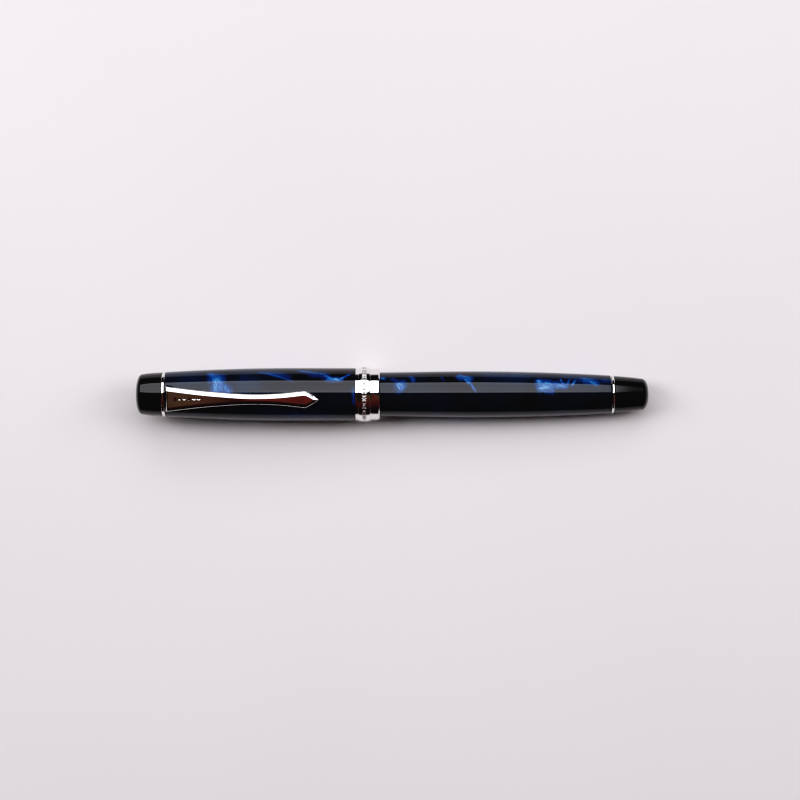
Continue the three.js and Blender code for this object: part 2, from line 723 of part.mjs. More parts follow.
function feed() {
  let body = toSolid(turned([
    [feedNose, 0],
    [feedNose, FEED_RADIUS * 0.3],
    ...bend(
      [feedNose + 0.5, FEED_RADIUS * 0.43],
      [feedNose + 5.5, FEED_RADIUS * 0.9],
      [sectionFront - 0.5, FEED_RADIUS],
      5,
    ),
    [feedRear, FEED_RADIUS],
    [feedRear, 0],
  ], SMALL_SIDES));
  body = body.subtract(nibSheet(FEED_RADIUS, NIB_THICKNESS + RUN, 2 * RUN));
  for (let slot = 0; slot < FIN_SLOTS; slot += 1) {
    const start = sectionFront - 1.5 - slot * FIN_PITCH;
    body = body.subtract(block(
      [start - FIN_SLOT_WIDTH, -FEED_RADIUS, -2 * FEED_RADIUS],
      [start, FEED_RADIUS, -0.25 * FEED_RADIUS],
    ));
  }
  return toGeometry(body);
}

/** Hollow spike behind the feed that seals in the converter's mouth. */
function inkNipple() {
  return turnedRing([
    [nippleFront, FEED_RADIUS],
    [nippleFlangeEnd, FEED_RADIUS],
    [nippleFlangeEnd, NIPPLE_RADIUS],
    [nippleEnd - 0.4, NIPPLE_RADIUS],
    [nippleEnd, NIPPLE_RADIUS - 0.3],
    [nippleEnd, NIPPLE_BORE],
    [nippleFront, NIPPLE_BORE],
  ], SMALL_SIDES);
}

// ------------------------------------------------------------------ converter

function converterTube() {
  return turnedRing([
    [tubeStart, tubeRadius - 0.3],
    [tubeStart + 0.4, tubeRadius],
    [tubeEnd, tubeRadius],
    [tubeEnd, CONVERTER_BORE],
    [tubeStart + TUBE_MOUTH_WALL, CONVERTER_BORE],
    [tubeStart + TUBE_MOUTH_WALL, NIPPLE_RADIUS + RUN],
    [tubeStart, NIPPLE_RADIUS + RUN],
  ]);
}

const knobNeck = socketRadius - RUN - KNOB_NECK_STEP;

function converterFerrule() {
  return turnedRing([
    [ferruleStart, ferruleRadius],
    [ferruleEnd, ferruleRadius],
    [ferruleEnd, knobNeck + RUN],
    [ferruleEnd - FERRULE_LIP, knobNeck + RUN],
    [ferruleEnd - FERRULE_LIP, socketRadius],
    [ferruleStart, socketRadius],
  ]);
}

/** Washer whose slot fits the rod's flats, so that the rod slides and can't turn. */
function rodGuide() {
  const washer = toSolid(turned([
    [guideStart, 0],
    [guideStart, socketRadius - RUN],
    [guideEnd, socketRadius - RUN],
    [guideEnd, 0],
  ]));
  const slot = block(
    [guideStart - 1, -ROD_CORE - RUN, -rodCrest - RUN],
    [guideEnd + 1, ROD_CORE + RUN, rodCrest + RUN],
  );
  return toGeometry(washer.subtract(slot));
}

/** Seal with two lips and a socket for the rod. */
function pistonSeal() {
  const lip = CONVERTER_BORE - RUN;
  return turned([
    [sealStart, 0],
    [sealStart, lip - 0.4],
    [sealStart + 0.4, lip],
    [sealStart + 1.2, lip],
    [sealStart + 1.5, lip - 0.5],
    [sealEnd - 1.5, lip - 0.5],
    [sealEnd - 1.2, lip],
    [sealEnd, lip],
    [sealEnd, ROD_CORE + RUN],
    [rodStart - SEAT, ROD_CORE + RUN],
    [rodStart - SEAT, 0],
  ], SMALL_SIDES);
}

function pistonRod() {
  const core = toSolid(turned([
    [rodStart, 0],
    [rodStart, ROD_CORE],
    [rodEnd, ROD_CORE],
    [rodEnd, 0],
  ], SMALL_SIDES));
  const thread = threadRidges(ROD_THREAD, rodThreadStart, ROD_THREAD.turns, ROD_CORE, rodCrest);
  const flats = block(
    [rodStart - 1, -ROD_CORE, -rodCrest - 1],
    [rodEnd + 1, ROD_CORE, rodCrest + 1],
  );
  return toGeometry(core.add(thread).intersect(flats));
}

/** Knob held in the ferrule by a flange, with the nut that drives the rod. */
function converterKnob() {
  const grip = tubeRadius + KNOB_GRIP_EXTRA;
  const knob = toSolid(turned([
    [knobEnd - KNOB_END_WALL, 0],
    [knobEnd - KNOB_END_WALL, knobBore],
    [knobStart, knobBore],
    [knobStart, socketRadius - RUN],
    [knobStart + KNOB_FLANGE, socketRadius - RUN],
    [knobStart + KNOB_FLANGE, knobNeck],
    [gripStart, knobNeck],
    [gripStart, grip],
    [knobEnd - 0.6, grip],
    [knobEnd, grip - 0.6],
    [knobEnd, 0],
  ]));
  const nut = threadRidges(ROD_THREAD, nutStart, NUT_TURNS, knobBore, ROD_CORE + 2 * RUN);
  return toGeometry(knob.add(nut));
}

// ------------------------------------------------------------------ barrel and tail

function barrel() {
  const fullStation = shoulder + 26.7;
  const body = toSolid(turned([
    [cavityEnd, 0],
    [cavityEnd, cavityRadius],
    [sectionThreadEnd + THREAD_RELIEF, cavityRadius],
    [sectionThreadEnd + THREAD_RELIEF, barrelThreadRoot],
    [sectionThreadStart - THREAD_RELIEF, barrelThreadRoot],
    [sectionThreadStart - THREAD_RELIEF, barrelThreadCrest],
    [barrelFront, barrelThreadCrest],
    [barrelFront, neckCore - 0.15],
    [barrelFront + 0.3, neckCore],
    [shoulder, neckCore],
    [shoulder, shoulderRadius - 0.1],
    ...easing(
      [shoulder + 0.2, shoulderRadius],
      [shoulder + 8.7, shoulderRadius],
      [fullStation - 10, barrelBelly],
      [fullStation, barrelBelly],
      4,
    ),
    ...bend(
      [fullStation, barrelBelly],
      [(fullStation + barrelRearEnd) / 2, barrelBelly],
      [barrelRearEnd, barrelRear],
      4,
    ).slice(1),
    [barrelRearEnd, TAIL_SPIGOT_RADIUS + RUN],
    [tailBoreStart, TAIL_SPIGOT_RADIUS + RUN],
    [tailBoreStart, 0],
  ]));
  const inner = threadRidges(
    SECTION_THREAD, sectionThreadStart, SECTION_THREAD.turns, barrelThreadRoot, barrelThreadCrest,
  );
  const outer = threadRidges(CAP_THREAD, capThreadStart, CAP_THREAD.turns, neckCore, neckCrest);
  return toGeometry(body.add(inner).add(outer));
}

function tail() {
  return turned([
    [tailBoreStart + 2 * SEAT, 0],
    [tailBoreStart + 2 * SEAT, TAIL_SPIGOT_RADIUS],
    [tailStart, TAIL_SPIGOT_RADIUS],
    ...bend(
      [tailStart, tailFront],
      [(tailStart + penLength - TAIL_ROUND) / 2, (tailFront + tailCorner) / 2 + 0.05],
      [penLength - TAIL_ROUND, tailCorner],
      3,
    ),
    ...roundedEnd(penLength, penLength - TAIL_ROUND, TAIL_FLAT, tailCorner).reverse().slice(1),
    [penLength, 0],
  ]);
}

// ------------------------------------------------------------------ finishes

const finish = (color, roughness, metalness) => () => (
  new THREE.MeshStandardMaterial({ color, roughness, metalness })
);
const blackResin = finish(0x07080a, 0.12, 0);
const marbledResin = finish(0x0a1524, 0.1, 0);
const polishedTrim = finish(0xd6d6d4, 0.06, 1);
const nibMetal = finish(0xcfcdc8, 0.14, 1);
const greyMetal = finish(0x9a9ca0, 0.3, 1);
const moulding = finish(0x15171a, 0.45, 0);
const clearPlastic = finish(0xc9d2d8, 0.12, 0);
const rubberSeal = finish(0x1b1b1c, 0.7, 0);

// ------------------------------------------------------------------ assembly

function addPiece(group, name, geometry, material) {
  const piece = new THREE.Mesh(geometry, material());
  piece.name = name;
  group.add(piece);
}

const cap = new THREE.Group();
cap.rotation.x = CLIP_ROLL;
addPiece(cap, 'crown', crown(), blackResin);
addPiece(cap, 'crown_ring', trimRing(ringStart, crownSpigot + RUN, shellFront), polishedTrim);
addPiece(cap, 'crown_screw', crownScrew(), greyMetal);
addPiece(cap, 'clip_mount', clipMount(), polishedTrim);
addPiece(cap, 'clip_arm', clipArm(), polishedTrim);
addPiece(cap, 'cap_shell', capShell(), marbledResin);
addPiece(cap, 'inner_cap', innerCap(), moulding);
addPiece(cap, 'cap_band', capBand(), polishedTrim);

const pen = new THREE.Group();
pen.add(cap);
addPiece(pen, 'section', section(), blackResin);
addPiece(pen, 'section_thread_collar', sectionThreadCollar(), greyMetal);
addPiece(pen, 'nib', nib(), nibMetal);
addPiece(pen, 'nib_tipping', nibTipping(), greyMetal);
addPiece(pen, 'feed', feed(), moulding);
addPiece(pen, 'ink_nipple', inkNipple(), moulding);
addPiece(pen, 'converter_tube', converterTube(), clearPlastic);
addPiece(pen, 'converter_ferrule', converterFerrule(), polishedTrim);
addPiece(pen, 'rod_guide', rodGuide(), moulding);
addPiece(pen, 'piston_seal', pistonSeal(), rubberSeal);
addPiece(pen, 'piston_rod', pistonRod(), moulding);
addPiece(pen, 'converter_knob', converterKnob(), moulding);
addPiece(pen, 'barrel', barrel(), marbledResin);
addPiece(pen, 'tail_ring', trimRing(tailRingStart, TAIL_SPIGOT_RADIUS + RUN, barrelRear), polishedTrim);
addPiece(pen, 'tail', tail(), blackResin);

pen.position.set(-penLength / 2, 0, beltRadius * Math.cos(Math.PI / BAND_SIDES));

export default pen;
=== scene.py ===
import json
import math
import random

import bpy
import numpy as np
from mathutils import Matrix, Vector


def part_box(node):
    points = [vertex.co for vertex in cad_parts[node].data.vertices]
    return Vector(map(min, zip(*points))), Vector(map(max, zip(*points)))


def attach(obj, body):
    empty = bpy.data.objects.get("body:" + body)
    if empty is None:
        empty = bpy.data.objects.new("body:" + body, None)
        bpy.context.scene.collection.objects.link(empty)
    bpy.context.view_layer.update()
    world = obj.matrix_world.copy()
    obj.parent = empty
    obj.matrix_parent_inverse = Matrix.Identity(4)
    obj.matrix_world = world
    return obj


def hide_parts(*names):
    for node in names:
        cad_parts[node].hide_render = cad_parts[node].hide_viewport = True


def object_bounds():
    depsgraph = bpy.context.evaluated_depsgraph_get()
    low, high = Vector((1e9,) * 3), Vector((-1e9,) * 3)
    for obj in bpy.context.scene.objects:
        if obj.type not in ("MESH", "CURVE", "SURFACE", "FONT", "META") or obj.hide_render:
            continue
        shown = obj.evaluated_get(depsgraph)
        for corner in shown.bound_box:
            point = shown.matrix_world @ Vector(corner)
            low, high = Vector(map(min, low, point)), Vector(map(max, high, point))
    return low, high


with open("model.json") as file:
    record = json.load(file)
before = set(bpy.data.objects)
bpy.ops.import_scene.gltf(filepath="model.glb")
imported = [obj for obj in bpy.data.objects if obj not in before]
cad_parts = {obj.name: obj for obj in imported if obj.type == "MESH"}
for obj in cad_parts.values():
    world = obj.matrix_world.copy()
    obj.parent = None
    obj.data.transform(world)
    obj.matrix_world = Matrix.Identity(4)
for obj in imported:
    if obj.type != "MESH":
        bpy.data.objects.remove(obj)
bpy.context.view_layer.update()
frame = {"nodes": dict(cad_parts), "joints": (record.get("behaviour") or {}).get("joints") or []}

# A fountain pen with a marbled cap and barrel, polished trim, a nib and a twist converter.
# Sizes are in millimetres and stations run along the pen from the crown's end.
# to_scene() turns them into the frame's metres.

MM = 0.001
CROWN_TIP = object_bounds()[0].x
AXIS_HEIGHT = sum(corner.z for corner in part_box("cap_band")) / 2
CLIP_HINGE = next(j for j in frame["joints"] if j["name"] == "clip_flex")
CAP_ROLL = math.atan2(-CLIP_HINGE["axis"][2], -CLIP_HINGE["axis"][1])
SEAT = 0.1  # gap between pieces that rest against each other


# ---------------------------------------------------------------- measures from the frame

def node_points(node):
    """A node's corners as station, sideways and upwards distances from the pen's axis."""
    corners = np.array([v.co for v in frame["nodes"][node].data.vertices])
    return (corners - [CROWN_TIP, 0, AXIS_HEIGHT]) / MM


def span(node):
    """A node's first and last station."""
    stations = node_points(node)[:, 0]
    return float(stations.min()), float(stations.max())


def reach(node):
    """How far a node reaches from the pen's axis."""
    corners = node_points(node)
    return float(np.hypot(corners[:, 1], corners[:, 2]).max())


SHELL_START = span("cap_shell")[0]
SHELL_END = span("cap_band")[0] - SEAT / 2
CAP_MOUTH = span("cap_band")[1]
BELT = reach("cap_band")
BARREL_FRONT, BARREL_END = span("barrel")
SECTION_FRONT, SECTION_REAR = span("section")

BELT_STANDS_OUT = 0.37
BAND = BELT - BELT_STANDS_OUT
SHELL_BELLY = BAND + 0.1
SHELL_FULL = (SHELL_START + SHELL_END) / 2 + 9.75
CAP_TAPER = 1.1
SHELL_FRONT = SHELL_BELLY - CAP_TAPER
NECK_LENGTH = 8.7
SHOULDER = BARREL_FRONT + NECK_LENGTH
SHOULDER_RADIUS = 5.9
BARREL_BELLY = 6.17
BARREL_REAR = 5.07


# ---------------------------------------------------------------- outlines

def bend(start, pull, end, steps=24):
    """A parabola between two points, pulled towards a third."""
    t = np.linspace(0, 1, steps + 1)[:, None]
    a, b, c = (np.array(p, float) for p in (start, pull, end))
    return [tuple(p) for p in (1 - t) ** 2 * a + 2 * t * (1 - t) * b + t ** 2 * c]


def easing(start, leave, arrive, end, steps=24):
    """An S-shaped curve that leaves and arrives along the lines to its two handles."""
    t = np.linspace(0, 1, steps + 1)[:, None]
    a, b, c, d = (np.array(p, float) for p in (start, leave, arrive, end))
    curve = (1 - t) ** 3 * a + 3 * t * (1 - t) ** 2 * b + 3 * t ** 2 * (1 - t) * c + t ** 3 * d
    return [tuple(p) for p in curve]


def rounded_end(tip, base, flat, radius, steps=20):
    """A quarter ellipse from the rim of a flat end round to the side."""
    turns = np.linspace(0, math.pi / 2, steps + 1)
    return [
        (base + (tip - base) * math.cos(a), flat + (radius - flat) * math.sin(a)) for a in turns
    ]


def smooth_through(knots, at):
    """A smooth curve through (place, value) knots, read at one or many places."""
    x, y = np.array(knots, float).T
    slopes = np.gradient(y, x)
    at = np.clip(at, x[0], x[-1])
    i = np.clip(np.searchsorted(x, at) - 1, 0, len(x) - 2)
    width = x[i + 1] - x[i]
    t = (at - x[i]) / width
    return (
        (2 * t ** 3 - 3 * t ** 2 + 1) * y[i]
        + (t ** 3 - 2 * t ** 2 + t) * width * slopes[i]
        + (3 * t ** 2 - 2 * t ** 3) * y[i + 1]
        + (t ** 3 - t ** 2) * width * slopes[i + 1]
    )


def soften(outline, size=0.06, closed=False, steps=3):
    """Rounds every sharp corner of an outline that isn't on the axis."""
    points = [np.array(p, float) for p in outline]
    count = len(points)
    made = []
    for i, corner in enumerate(points):
        ends = not closed and i in (0, count - 1)
        before, after = corner - points[i - 1], points[(i + 1) % count] - corner
        lengths = np.linalg.norm(before), np.linalg.norm(after)
        if ends or min(lengths) < 1e-6:
            made.append(tuple(corner))
            continue
        before, after = before / lengths[0], after / lengths[1]
        if before @ after > math.cos(math.radians(20)):
            made.append(tuple(corner))
            continue
        cut = min(size, 0.4 * min(lengths))
        made += bend(corner - before * cut, corner, corner + after * cut, steps)
    return made


def subdivided(outline, step):
    """Adds points to an outline so that none of its lines is longer than step."""
    made = [tuple(outline[0])]
    for start, end in zip(outline, outline[1:]):
        pieces = max(1, math.ceil(math.dist(start, end) / step - 1e-9))
        for i in range(1, pieces + 1):
            made.append(tuple(np.array(start) + (np.array(end) - np.array(start)) * i / pieces))
    return made


# ---------------------------------------------------------------- node trees

class Bench:
    """Adds nodes to one tree and wires them as they are asked for."""

    def __init__(self, tree):
        self.tree = tree
        tree.nodes.clear()

    def feed(self, socket, value):
        if isinstance(value, bpy.types.Node):
            value = value.outputs[0]
        if isinstance(value, bpy.types.NodeSocket):
            self.tree.links.new(value, socket)
        elif value is not None:
            socket.default_value = value

    def node(self, kind, *values, settings=None, **named):
        made = self.tree.nodes.new(kind)
        for key, value in (settings or {}).items():
            setattr(made, key, value)
        for socket, value in zip(made.inputs, values):
            self.feed(socket, value)
        for name, value in named.items():
            self.feed(made.inputs[name.replace("_", " ")], value)
        return made

    def math(self, operation, *values):
        kind = "ShaderNodeMath"
        return self.node(kind, *values, settings={"operation": operation}).outputs[0]

    def place(self):
        """Where a point lies in the frame."""
        return self.node("ShaderNodeTexCoord").outputs["Object"]

    def attribute(self, name):
        return self.node("ShaderNodeAttribute", settings={"attribute_name": name})

    def noise(self, place, scale, detail=4.0, rough=0.55, stretch=None):
        if stretch:
            place = self.node("ShaderNodeMapping", place, Scale=stretch)
        made = self.node(
            "ShaderNodeTexNoise", Vector=place, Scale=scale, Detail=detail, Roughness=rough,
        )
        return made.outputs["Fac"]

    def ramp(self, value, stops, smooth=True):
        made = self.node("ShaderNodeValToRGB", value)
        ramp = made.color_ramp
        ramp.interpolation = "EASE" if smooth else "LINEAR"
        while len(ramp.elements) < len(stops):
            ramp.elements.new(0.5)
        for element, (place, colour) in zip(ramp.elements, stops):
            element.position = place
            element.color = (*colour, 1) if len(colour) == 3 else colour
        return made.outputs["Color"]

    def step(self, value, low, high):
        """0 below low, 1 above high and smooth between."""
        made = self.node(
            "ShaderNodeMapRange", value, low, high, 0.0, 1.0,
            settings={"interpolation_type": "SMOOTHSTEP"},
        )
        return made.outputs[0]

    def blend(self, share, first, second):
        made = self.node("ShaderNodeMix", settings={"data_type": "RGBA"})
        sockets = made.inputs[0], made.inputs[6], made.inputs[7]
        for socket, value in zip(sockets, (share, first, second)):
            if isinstance(value, tuple) and len(value) == 3:
                value = (*value, 1)
            self.feed(socket, value)
        return made.outputs[2]

    def bump(self, height, strength, distance):
        return self.node("ShaderNodeBump", Strength=strength, Distance=distance, Height=height)


def new_finish(name):
    """A new material, its bench and its shader."""
    material = bpy.data.materials.new(name)
    material.use_nodes = True
    bench = Bench(material.node_tree)
    shader = bench.node("ShaderNodeBsdfPrincipled")
    output = bench.node("ShaderNodeOutputMaterial", shader)
    output.name = "Finish"
    return material, bench, shader


# ---------------------------------------------------------------- finishes

def polish_marks(bench, place, strength):
    """Faint hairlines that hand polishing leaves, as bump."""
    hairlines = bench.noise(place, 900, 3, 0.6, stretch=(0.25, 1, 1))
    clouds = bench.noise(place, 130, 2, 0.5)
    height = bench.math("MULTIPLY", hairlines, bench.math("ADD", clouds, 0.3))
    return bench.bump(height, strength, 0.00002)


def marbled_resin():
    """Near-black navy resin with soft, feathery pearl-blue flecks, polished to a gloss."""
    material, bench, shader = new_finish("marbled_resin")
    place = bench.place()
    fleck = bench.attribute("fleck").outputs["Fac"]
    grain = bench.attribute("fleck_grain").outputs["Vector"]
    glow = bench.attribute("fleck_glow").outputs["Fac"]
    ragged = bench.noise(place, 480, 4, 0.55)
    fibres = bench.noise(grain, 0.9, 3, 0.55, stretch=(0.6, 1.7, 1))
    wisps = bench.noise(place, 900, 3, 0.55)
    edge = bench.math("MULTIPLY_ADD", bench.math("SUBTRACT", ragged, 0.5), 0.75, fleck)
    edge = bench.math("MULTIPLY_ADD", bench.math("SUBTRACT", fibres, 0.5), 0.80, edge)
    body = bench.step(edge, 0.20, 0.78)
    heart = bench.step(edge, 0.55, 1.05)
    grained = bench.math("MULTIPLY_ADD", bench.step(fibres, 0.36, 0.66), 0.6, 0.4)
    light = bench.math("MULTIPLY", bench.math("MULTIPLY", heart, glow), grained)
    light = bench.math("MULTIPLY", light, bench.math("ADD", wisps, 0.5))
    clouds = bench.noise(place, 70, 3, 0.5)
    depth = bench.noise(place, 240, 4, 0.6)
    ground = bench.ramp(clouds, [
        (0.38, (0.0030, 0.0036, 0.0070)),
        (0.54, (0.0032, 0.0090, 0.0220)),
        (0.72, (0.0036, 0.0220, 0.0620)),
    ])
    halo = bench.math("MULTIPLY", bench.step(fleck, 0.02, 0.45), bench.step(depth, 0.36, 0.62))
    lit = bench.math("MINIMUM", bench.math("ADD", glow, 0.3), 1.0)
    halo = bench.math("MULTIPLY", halo, lit)
    ground = bench.blend(bench.math("MULTIPLY", halo, 0.8), ground, (0.004, 0.042, 0.150))
    tone = bench.ramp(light, [
        (0.0, (0.0080, 0.0620, 0.2300)),
        (0.30, (0.0260, 0.1250, 0.4000)),
        (0.65, (0.0750, 0.2300, 0.5000)),
        (1.0, (0.1900, 0.3900, 0.6600)),
    ])
    opacity = bench.math("MINIMUM", bench.math("MULTIPLY_ADD", glow, 1.3, 0.2), 1.0)
    opacity = bench.math("MULTIPLY", body, opacity)
    bench.feed(shader.inputs["Base Color"], bench.blend(opacity, ground, tone))
    shader.inputs["Roughness"].default_value = 0.035
    shader.inputs["IOR"].default_value = 1.5
    bench.feed(shader.inputs["Normal"], polish_marks(bench, place, 0.05))
    return material


def black_resin():
    """Solid black resin, polished, with a trace of grey clouding."""
    material, bench, shader = new_finish("black_resin")
    place = bench.place()
    clouds = bench.noise(place, 210, 3, 0.5)
    bench.feed(shader.inputs["Base Color"], bench.ramp(clouds, [
        (0.35, (0.0022, 0.0023, 0.0027)),
        (0.75, (0.0046, 0.0048, 0.0056)),
    ]))
    rough = bench.node("ShaderNodeMapRange", bench.noise(place, 900, 4), 0.3, 0.7, 0.035, 0.075)
    bench.feed(shader.inputs["Roughness"], rough)
    shader.inputs["IOR"].default_value = 1.5
    bench.feed(shader.inputs["Normal"], polish_marks(bench, place, 0.06))
    return material


def polished_metal(name, colour, tarnish, roughness):
    """Bright plated metal; what is engraved in it is filled dark."""
    material, bench, shader = new_finish(name)
    place = bench.place()
    engraved = bench.attribute("engraved").outputs["Fac"]
    clouds = bench.noise(place, 160, 3, 0.5)
    plate = bench.blend(bench.step(clouds, 0.35, 0.75), colour, tarnish)
    fill = bench.step(engraved, 0.35, 0.75)
    bench.feed(
        shader.inputs["Base Color"],
        bench.blend(bench.math("MULTIPLY", fill, 0.55), plate, (0.30, 0.29, 0.285)),
    )
    shader.inputs["Metallic"].default_value = 1.0
    wear = bench.noise(place, 1400, 4, 0.6, stretch=(0.2, 1, 1))
    smooth = bench.node("ShaderNodeMapRange", wear, 0.35, 0.8, roughness, roughness + 0.05)
    rough = bench.math("MULTIPLY_ADD", fill, 0.35, smooth.outputs[0])
    bench.feed(shader.inputs["Roughness"], rough)
    bench.feed(shader.inputs["Normal"], polish_marks(bench, place, 0.08))
    return material


def machined_metal():
    """Turned steel with fine tool marks round the axis."""
    material, bench, shader = new_finish("machined_metal")
    place = bench.place()
    marks = bench.noise(place, 400, 3, 0.6, stretch=(18, 0.3, 0.3))
    bench.feed(shader.inputs["Base Color"], bench.ramp(marks, [
        (0.3, (0.42, 0.43, 0.45)), (0.7, (0.58, 0.585, 0.60)),
    ]))
    shader.inputs["Metallic"].default_value = 1.0
    rough = bench.node("ShaderNodeMapRange", marks, 0.3, 0.7, 0.2, 0.34)
    bench.feed(shader.inputs["Roughness"], rough)
    bench.feed(shader.inputs["Normal"], bench.bump(marks, 0.25, 0.00002))
    return material


def moulded_plastic():
    """Satin black moulding with a fine spark-eroded grain."""
    material, bench, shader = new_finish("moulded_plastic")
    place = bench.place()
    grain = bench.noise(place, 5200, 3, 0.6)
    bench.feed(shader.inputs["Base Color"], bench.ramp(bench.noise(place, 300, 3), [
        (0.3, (0.010, 0.0105, 0.012)), (0.7, (0.019, 0.0195, 0.022)),
    ]))
    rough = bench.node("ShaderNodeMapRange", grain, 0.3, 0.7, 0.34, 0.5)
    bench.feed(shader.inputs["Roughness"], rough)
    bench.feed(shader.inputs["Normal"], bench.bump(grain, 0.22, 0.00001))
    return material


def clear_plastic():
    """Clear moulded tube with a faint blue film of ink."""
    material, bench, shader = new_finish("clear_plastic")
    place = bench.place()
    film = bench.noise(place, 240, 4, 0.6, stretch=(0.5, 1, 1))
    bench.feed(shader.inputs["Base Color"], bench.ramp(film, [
        (0.45, (0.93, 0.96, 0.98)), (0.75, (0.55, 0.68, 0.90)),
    ]))
    shader.inputs["Roughness"].default_value = 0.06
    shader.inputs["IOR"].default_value = 1.49
    shader.inputs["Transmission Weight"].default_value = 0.92
    bench.feed(shader.inputs["Normal"], polish_marks(bench, place, 0.08))
    return material


def seal_rubber():
    """Matt black rubber with a light dusting."""
    material, bench, shader = new_finish("seal_rubber")
    place = bench.place()
    dust = bench.noise(place, 1800, 5, 0.7)
    bench.feed(shader.inputs["Base Color"], bench.ramp(dust, [
        (0.4, (0.012, 0.012, 0.013)), (0.8, (0.05, 0.05, 0.052)),
    ]))
    rough = bench.node("ShaderNodeMapRange", dust, 0.3, 0.7, 0.6, 0.8)
    bench.feed(shader.inputs["Roughness"], rough)
    bench.feed(shader.inputs["Normal"], bench.bump(dust, 0.3, 0.00002))
    return material


FINISHES = {
    "marbled_resin": marbled_resin(),
    "black_resin": black_resin(),
    "polished_trim": polished_metal(
        "polished_trim", (0.90, 0.895, 0.885), (0.84, 0.83, 0.815), 0.03,
    ),
    "nib_metal": polished_metal(
        "nib_metal", (0.86, 0.85, 0.82), (0.78, 0.765, 0.73), 0.07,
    ),
    "grey_metal": machined_metal(),
    "black_moulding": moulded_plastic(),
    "clear_tube": clear_plastic(),
    "seal_rubber": seal_rubber(),
}


# ---------------------------------------------------------------- making pieces

def to_scene(points):
    """Millimetres from the crown's end and the pen's axis, as the frame's metres."""
    return np.asarray(points, float) * MM + [CROWN_TIP, 0, AXIS_HEIGHT]


def rolled(points, angle=CAP_ROLL):
    """Points turned about the pen's axis by the cap's roll."""
    s, y, z = np.asarray(points, float).T
    c, d = math.cos(angle), math.sin(angle)
    return np.column_stack((s, y * c - z * d, y * d + z * c))


def in_scene(name, data):
    """A new object of that name, linked to the scene."""
    made = bpy.data.objects.new(name, data)
    bpy.context.scene.collection.objects.link(made)
    return made


def new_mesh(name, points, faces, edges=()):
    mesh = bpy.data.meshes.new(name)
    mesh.from_pydata([tuple(p) for p in points], list(edges), faces)
    return in_scene(name, mesh)


def new_piece(name, points, faces, edges=()):
    return new_mesh(name, to_scene(points), faces, edges)


def settle(piece):
    """Turns a piece and its modifiers into one plain mesh."""
    depsgraph = bpy.context.evaluated_depsgraph_get()
    mesh = bpy.data.meshes.new_from_object(piece.evaluated_get(depsgraph))
    old = piece.data
    piece.modifiers.clear()
    piece.data = mesh
    bpy.data.meshes.remove(old)
    mesh.name = piece.name
    return piece


def give(piece, name, value, kind="FLOAT"):
    """Stores one value for each vertex of a piece."""
    layer = piece.data.attributes.new(name, kind, "POINT")
    key = "value" if kind == "FLOAT" else "vector"
    layer.data.foreach_set(key, np.asarray(value, np.float32).ravel())


def place_of(piece):
    """A piece's vertices in millimetres from the crown's end and the axis."""
    flat = np.zeros(len(piece.data.vertices) * 3)
    piece.data.vertices.foreach_get("co", flat)
    return (flat.reshape(-1, 3) - [CROWN_TIP, 0, AXIS_HEIGHT]) / MM


def put_back(piece, points):
    piece.data.vertices.foreach_set("co", to_scene(points).ravel())
    piece.data.update()


def dress(piece, node, slot, body, sharp=32):
    """Gives a finished piece its finish and its body, and hides the node that it stands for."""
    mesh = piece.data
    mesh.materials.clear()
    mesh.materials.append(FINISHES[slot])
    mesh.shade_smooth()
    mesh.set_sharp_from_angle(angle=math.radians(sharp))
    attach(piece, body)
    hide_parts(node)
    return piece


def shape_tree(name, **inputs):
    """A node tree with these named inputs and one piece as its output; gives their sockets too."""
    tree = bpy.data.node_groups.new(name, "GeometryNodeTree")
    for label, kind in inputs.items():
        socket = f"NodeSocket{kind}"
        tree.interface.new_socket(label.replace("_", " "), in_out="INPUT", socket_type=socket)
    tree.interface.new_socket("Piece", in_out="OUTPUT", socket_type="NodeSocketGeometry")
    bench = Bench(tree)
    given = bench.node("NodeGroupInput")
    return tree, bench, given.outputs[:len(inputs)]


def finish_tree(bench, shape, finish):
    """Ends a node tree: the shape is made real and takes its finish."""
    whole = bench.node("GeometryNodeRealizeInstances", shape)
    painted = bench.node("GeometryNodeSetMaterial", whole, Material=finish)
    bench.node("NodeGroupOutput", painted)


def lathe_tree():
    """Turns an outline, a chain of points above the axis, into a closed round piece."""
    tree, bench, given = shape_tree(
        "lathe", Outline="Geometry", Sides="Int", Axis_height="Float", Finish="Material",
    )
    outline, sides, height, finish = given
    count = bench.node("GeometryNodeAttributeDomainSize", outline).outputs["Point Count"]
    rows = bench.math("ADD", sides, 1)
    grid = bench.node("GeometryNodeMeshGrid", 1.0, 1.0, count, rows)
    index = bench.node("GeometryNodeInputIndex")
    column = bench.math("FLOOR", bench.math("DIVIDE", bench.math("ADD", index, 0.5), rows))
    step = bench.math("SUBTRACT", index, bench.math("MULTIPLY", column, rows))
    angle = bench.math("MULTIPLY", bench.math("DIVIDE", step, sides), 2 * math.pi)
    sample = bench.node("GeometryNodeSampleIndex", settings={"data_type": "FLOAT_VECTOR"})
    bench.feed(sample.inputs["Geometry"], outline)
    bench.feed(sample.inputs["Value"], bench.node("GeometryNodeInputPosition"))
    bench.feed(sample.inputs["Index"], column)
    apart = bench.node("ShaderNodeSeparateXYZ", sample)
    radius = bench.math("SUBTRACT", apart.outputs[2], height)
    sideways = bench.math("MULTIPLY", radius, bench.math("SINE", angle))
    upwards = bench.math("MULTIPLY_ADD", radius, bench.math("COSINE", angle), height)
    spot = bench.node("ShaderNodeCombineXYZ", apart.outputs[0], sideways, upwards)
    turned = bench.node("GeometryNodeSetPosition", grid, Position=spot)
    closed = bench.node("GeometryNodeMergeByDistance", turned, Distance=2e-7)
    finish_tree(bench, closed, finish)
    return tree


LATHE = lathe_tree()


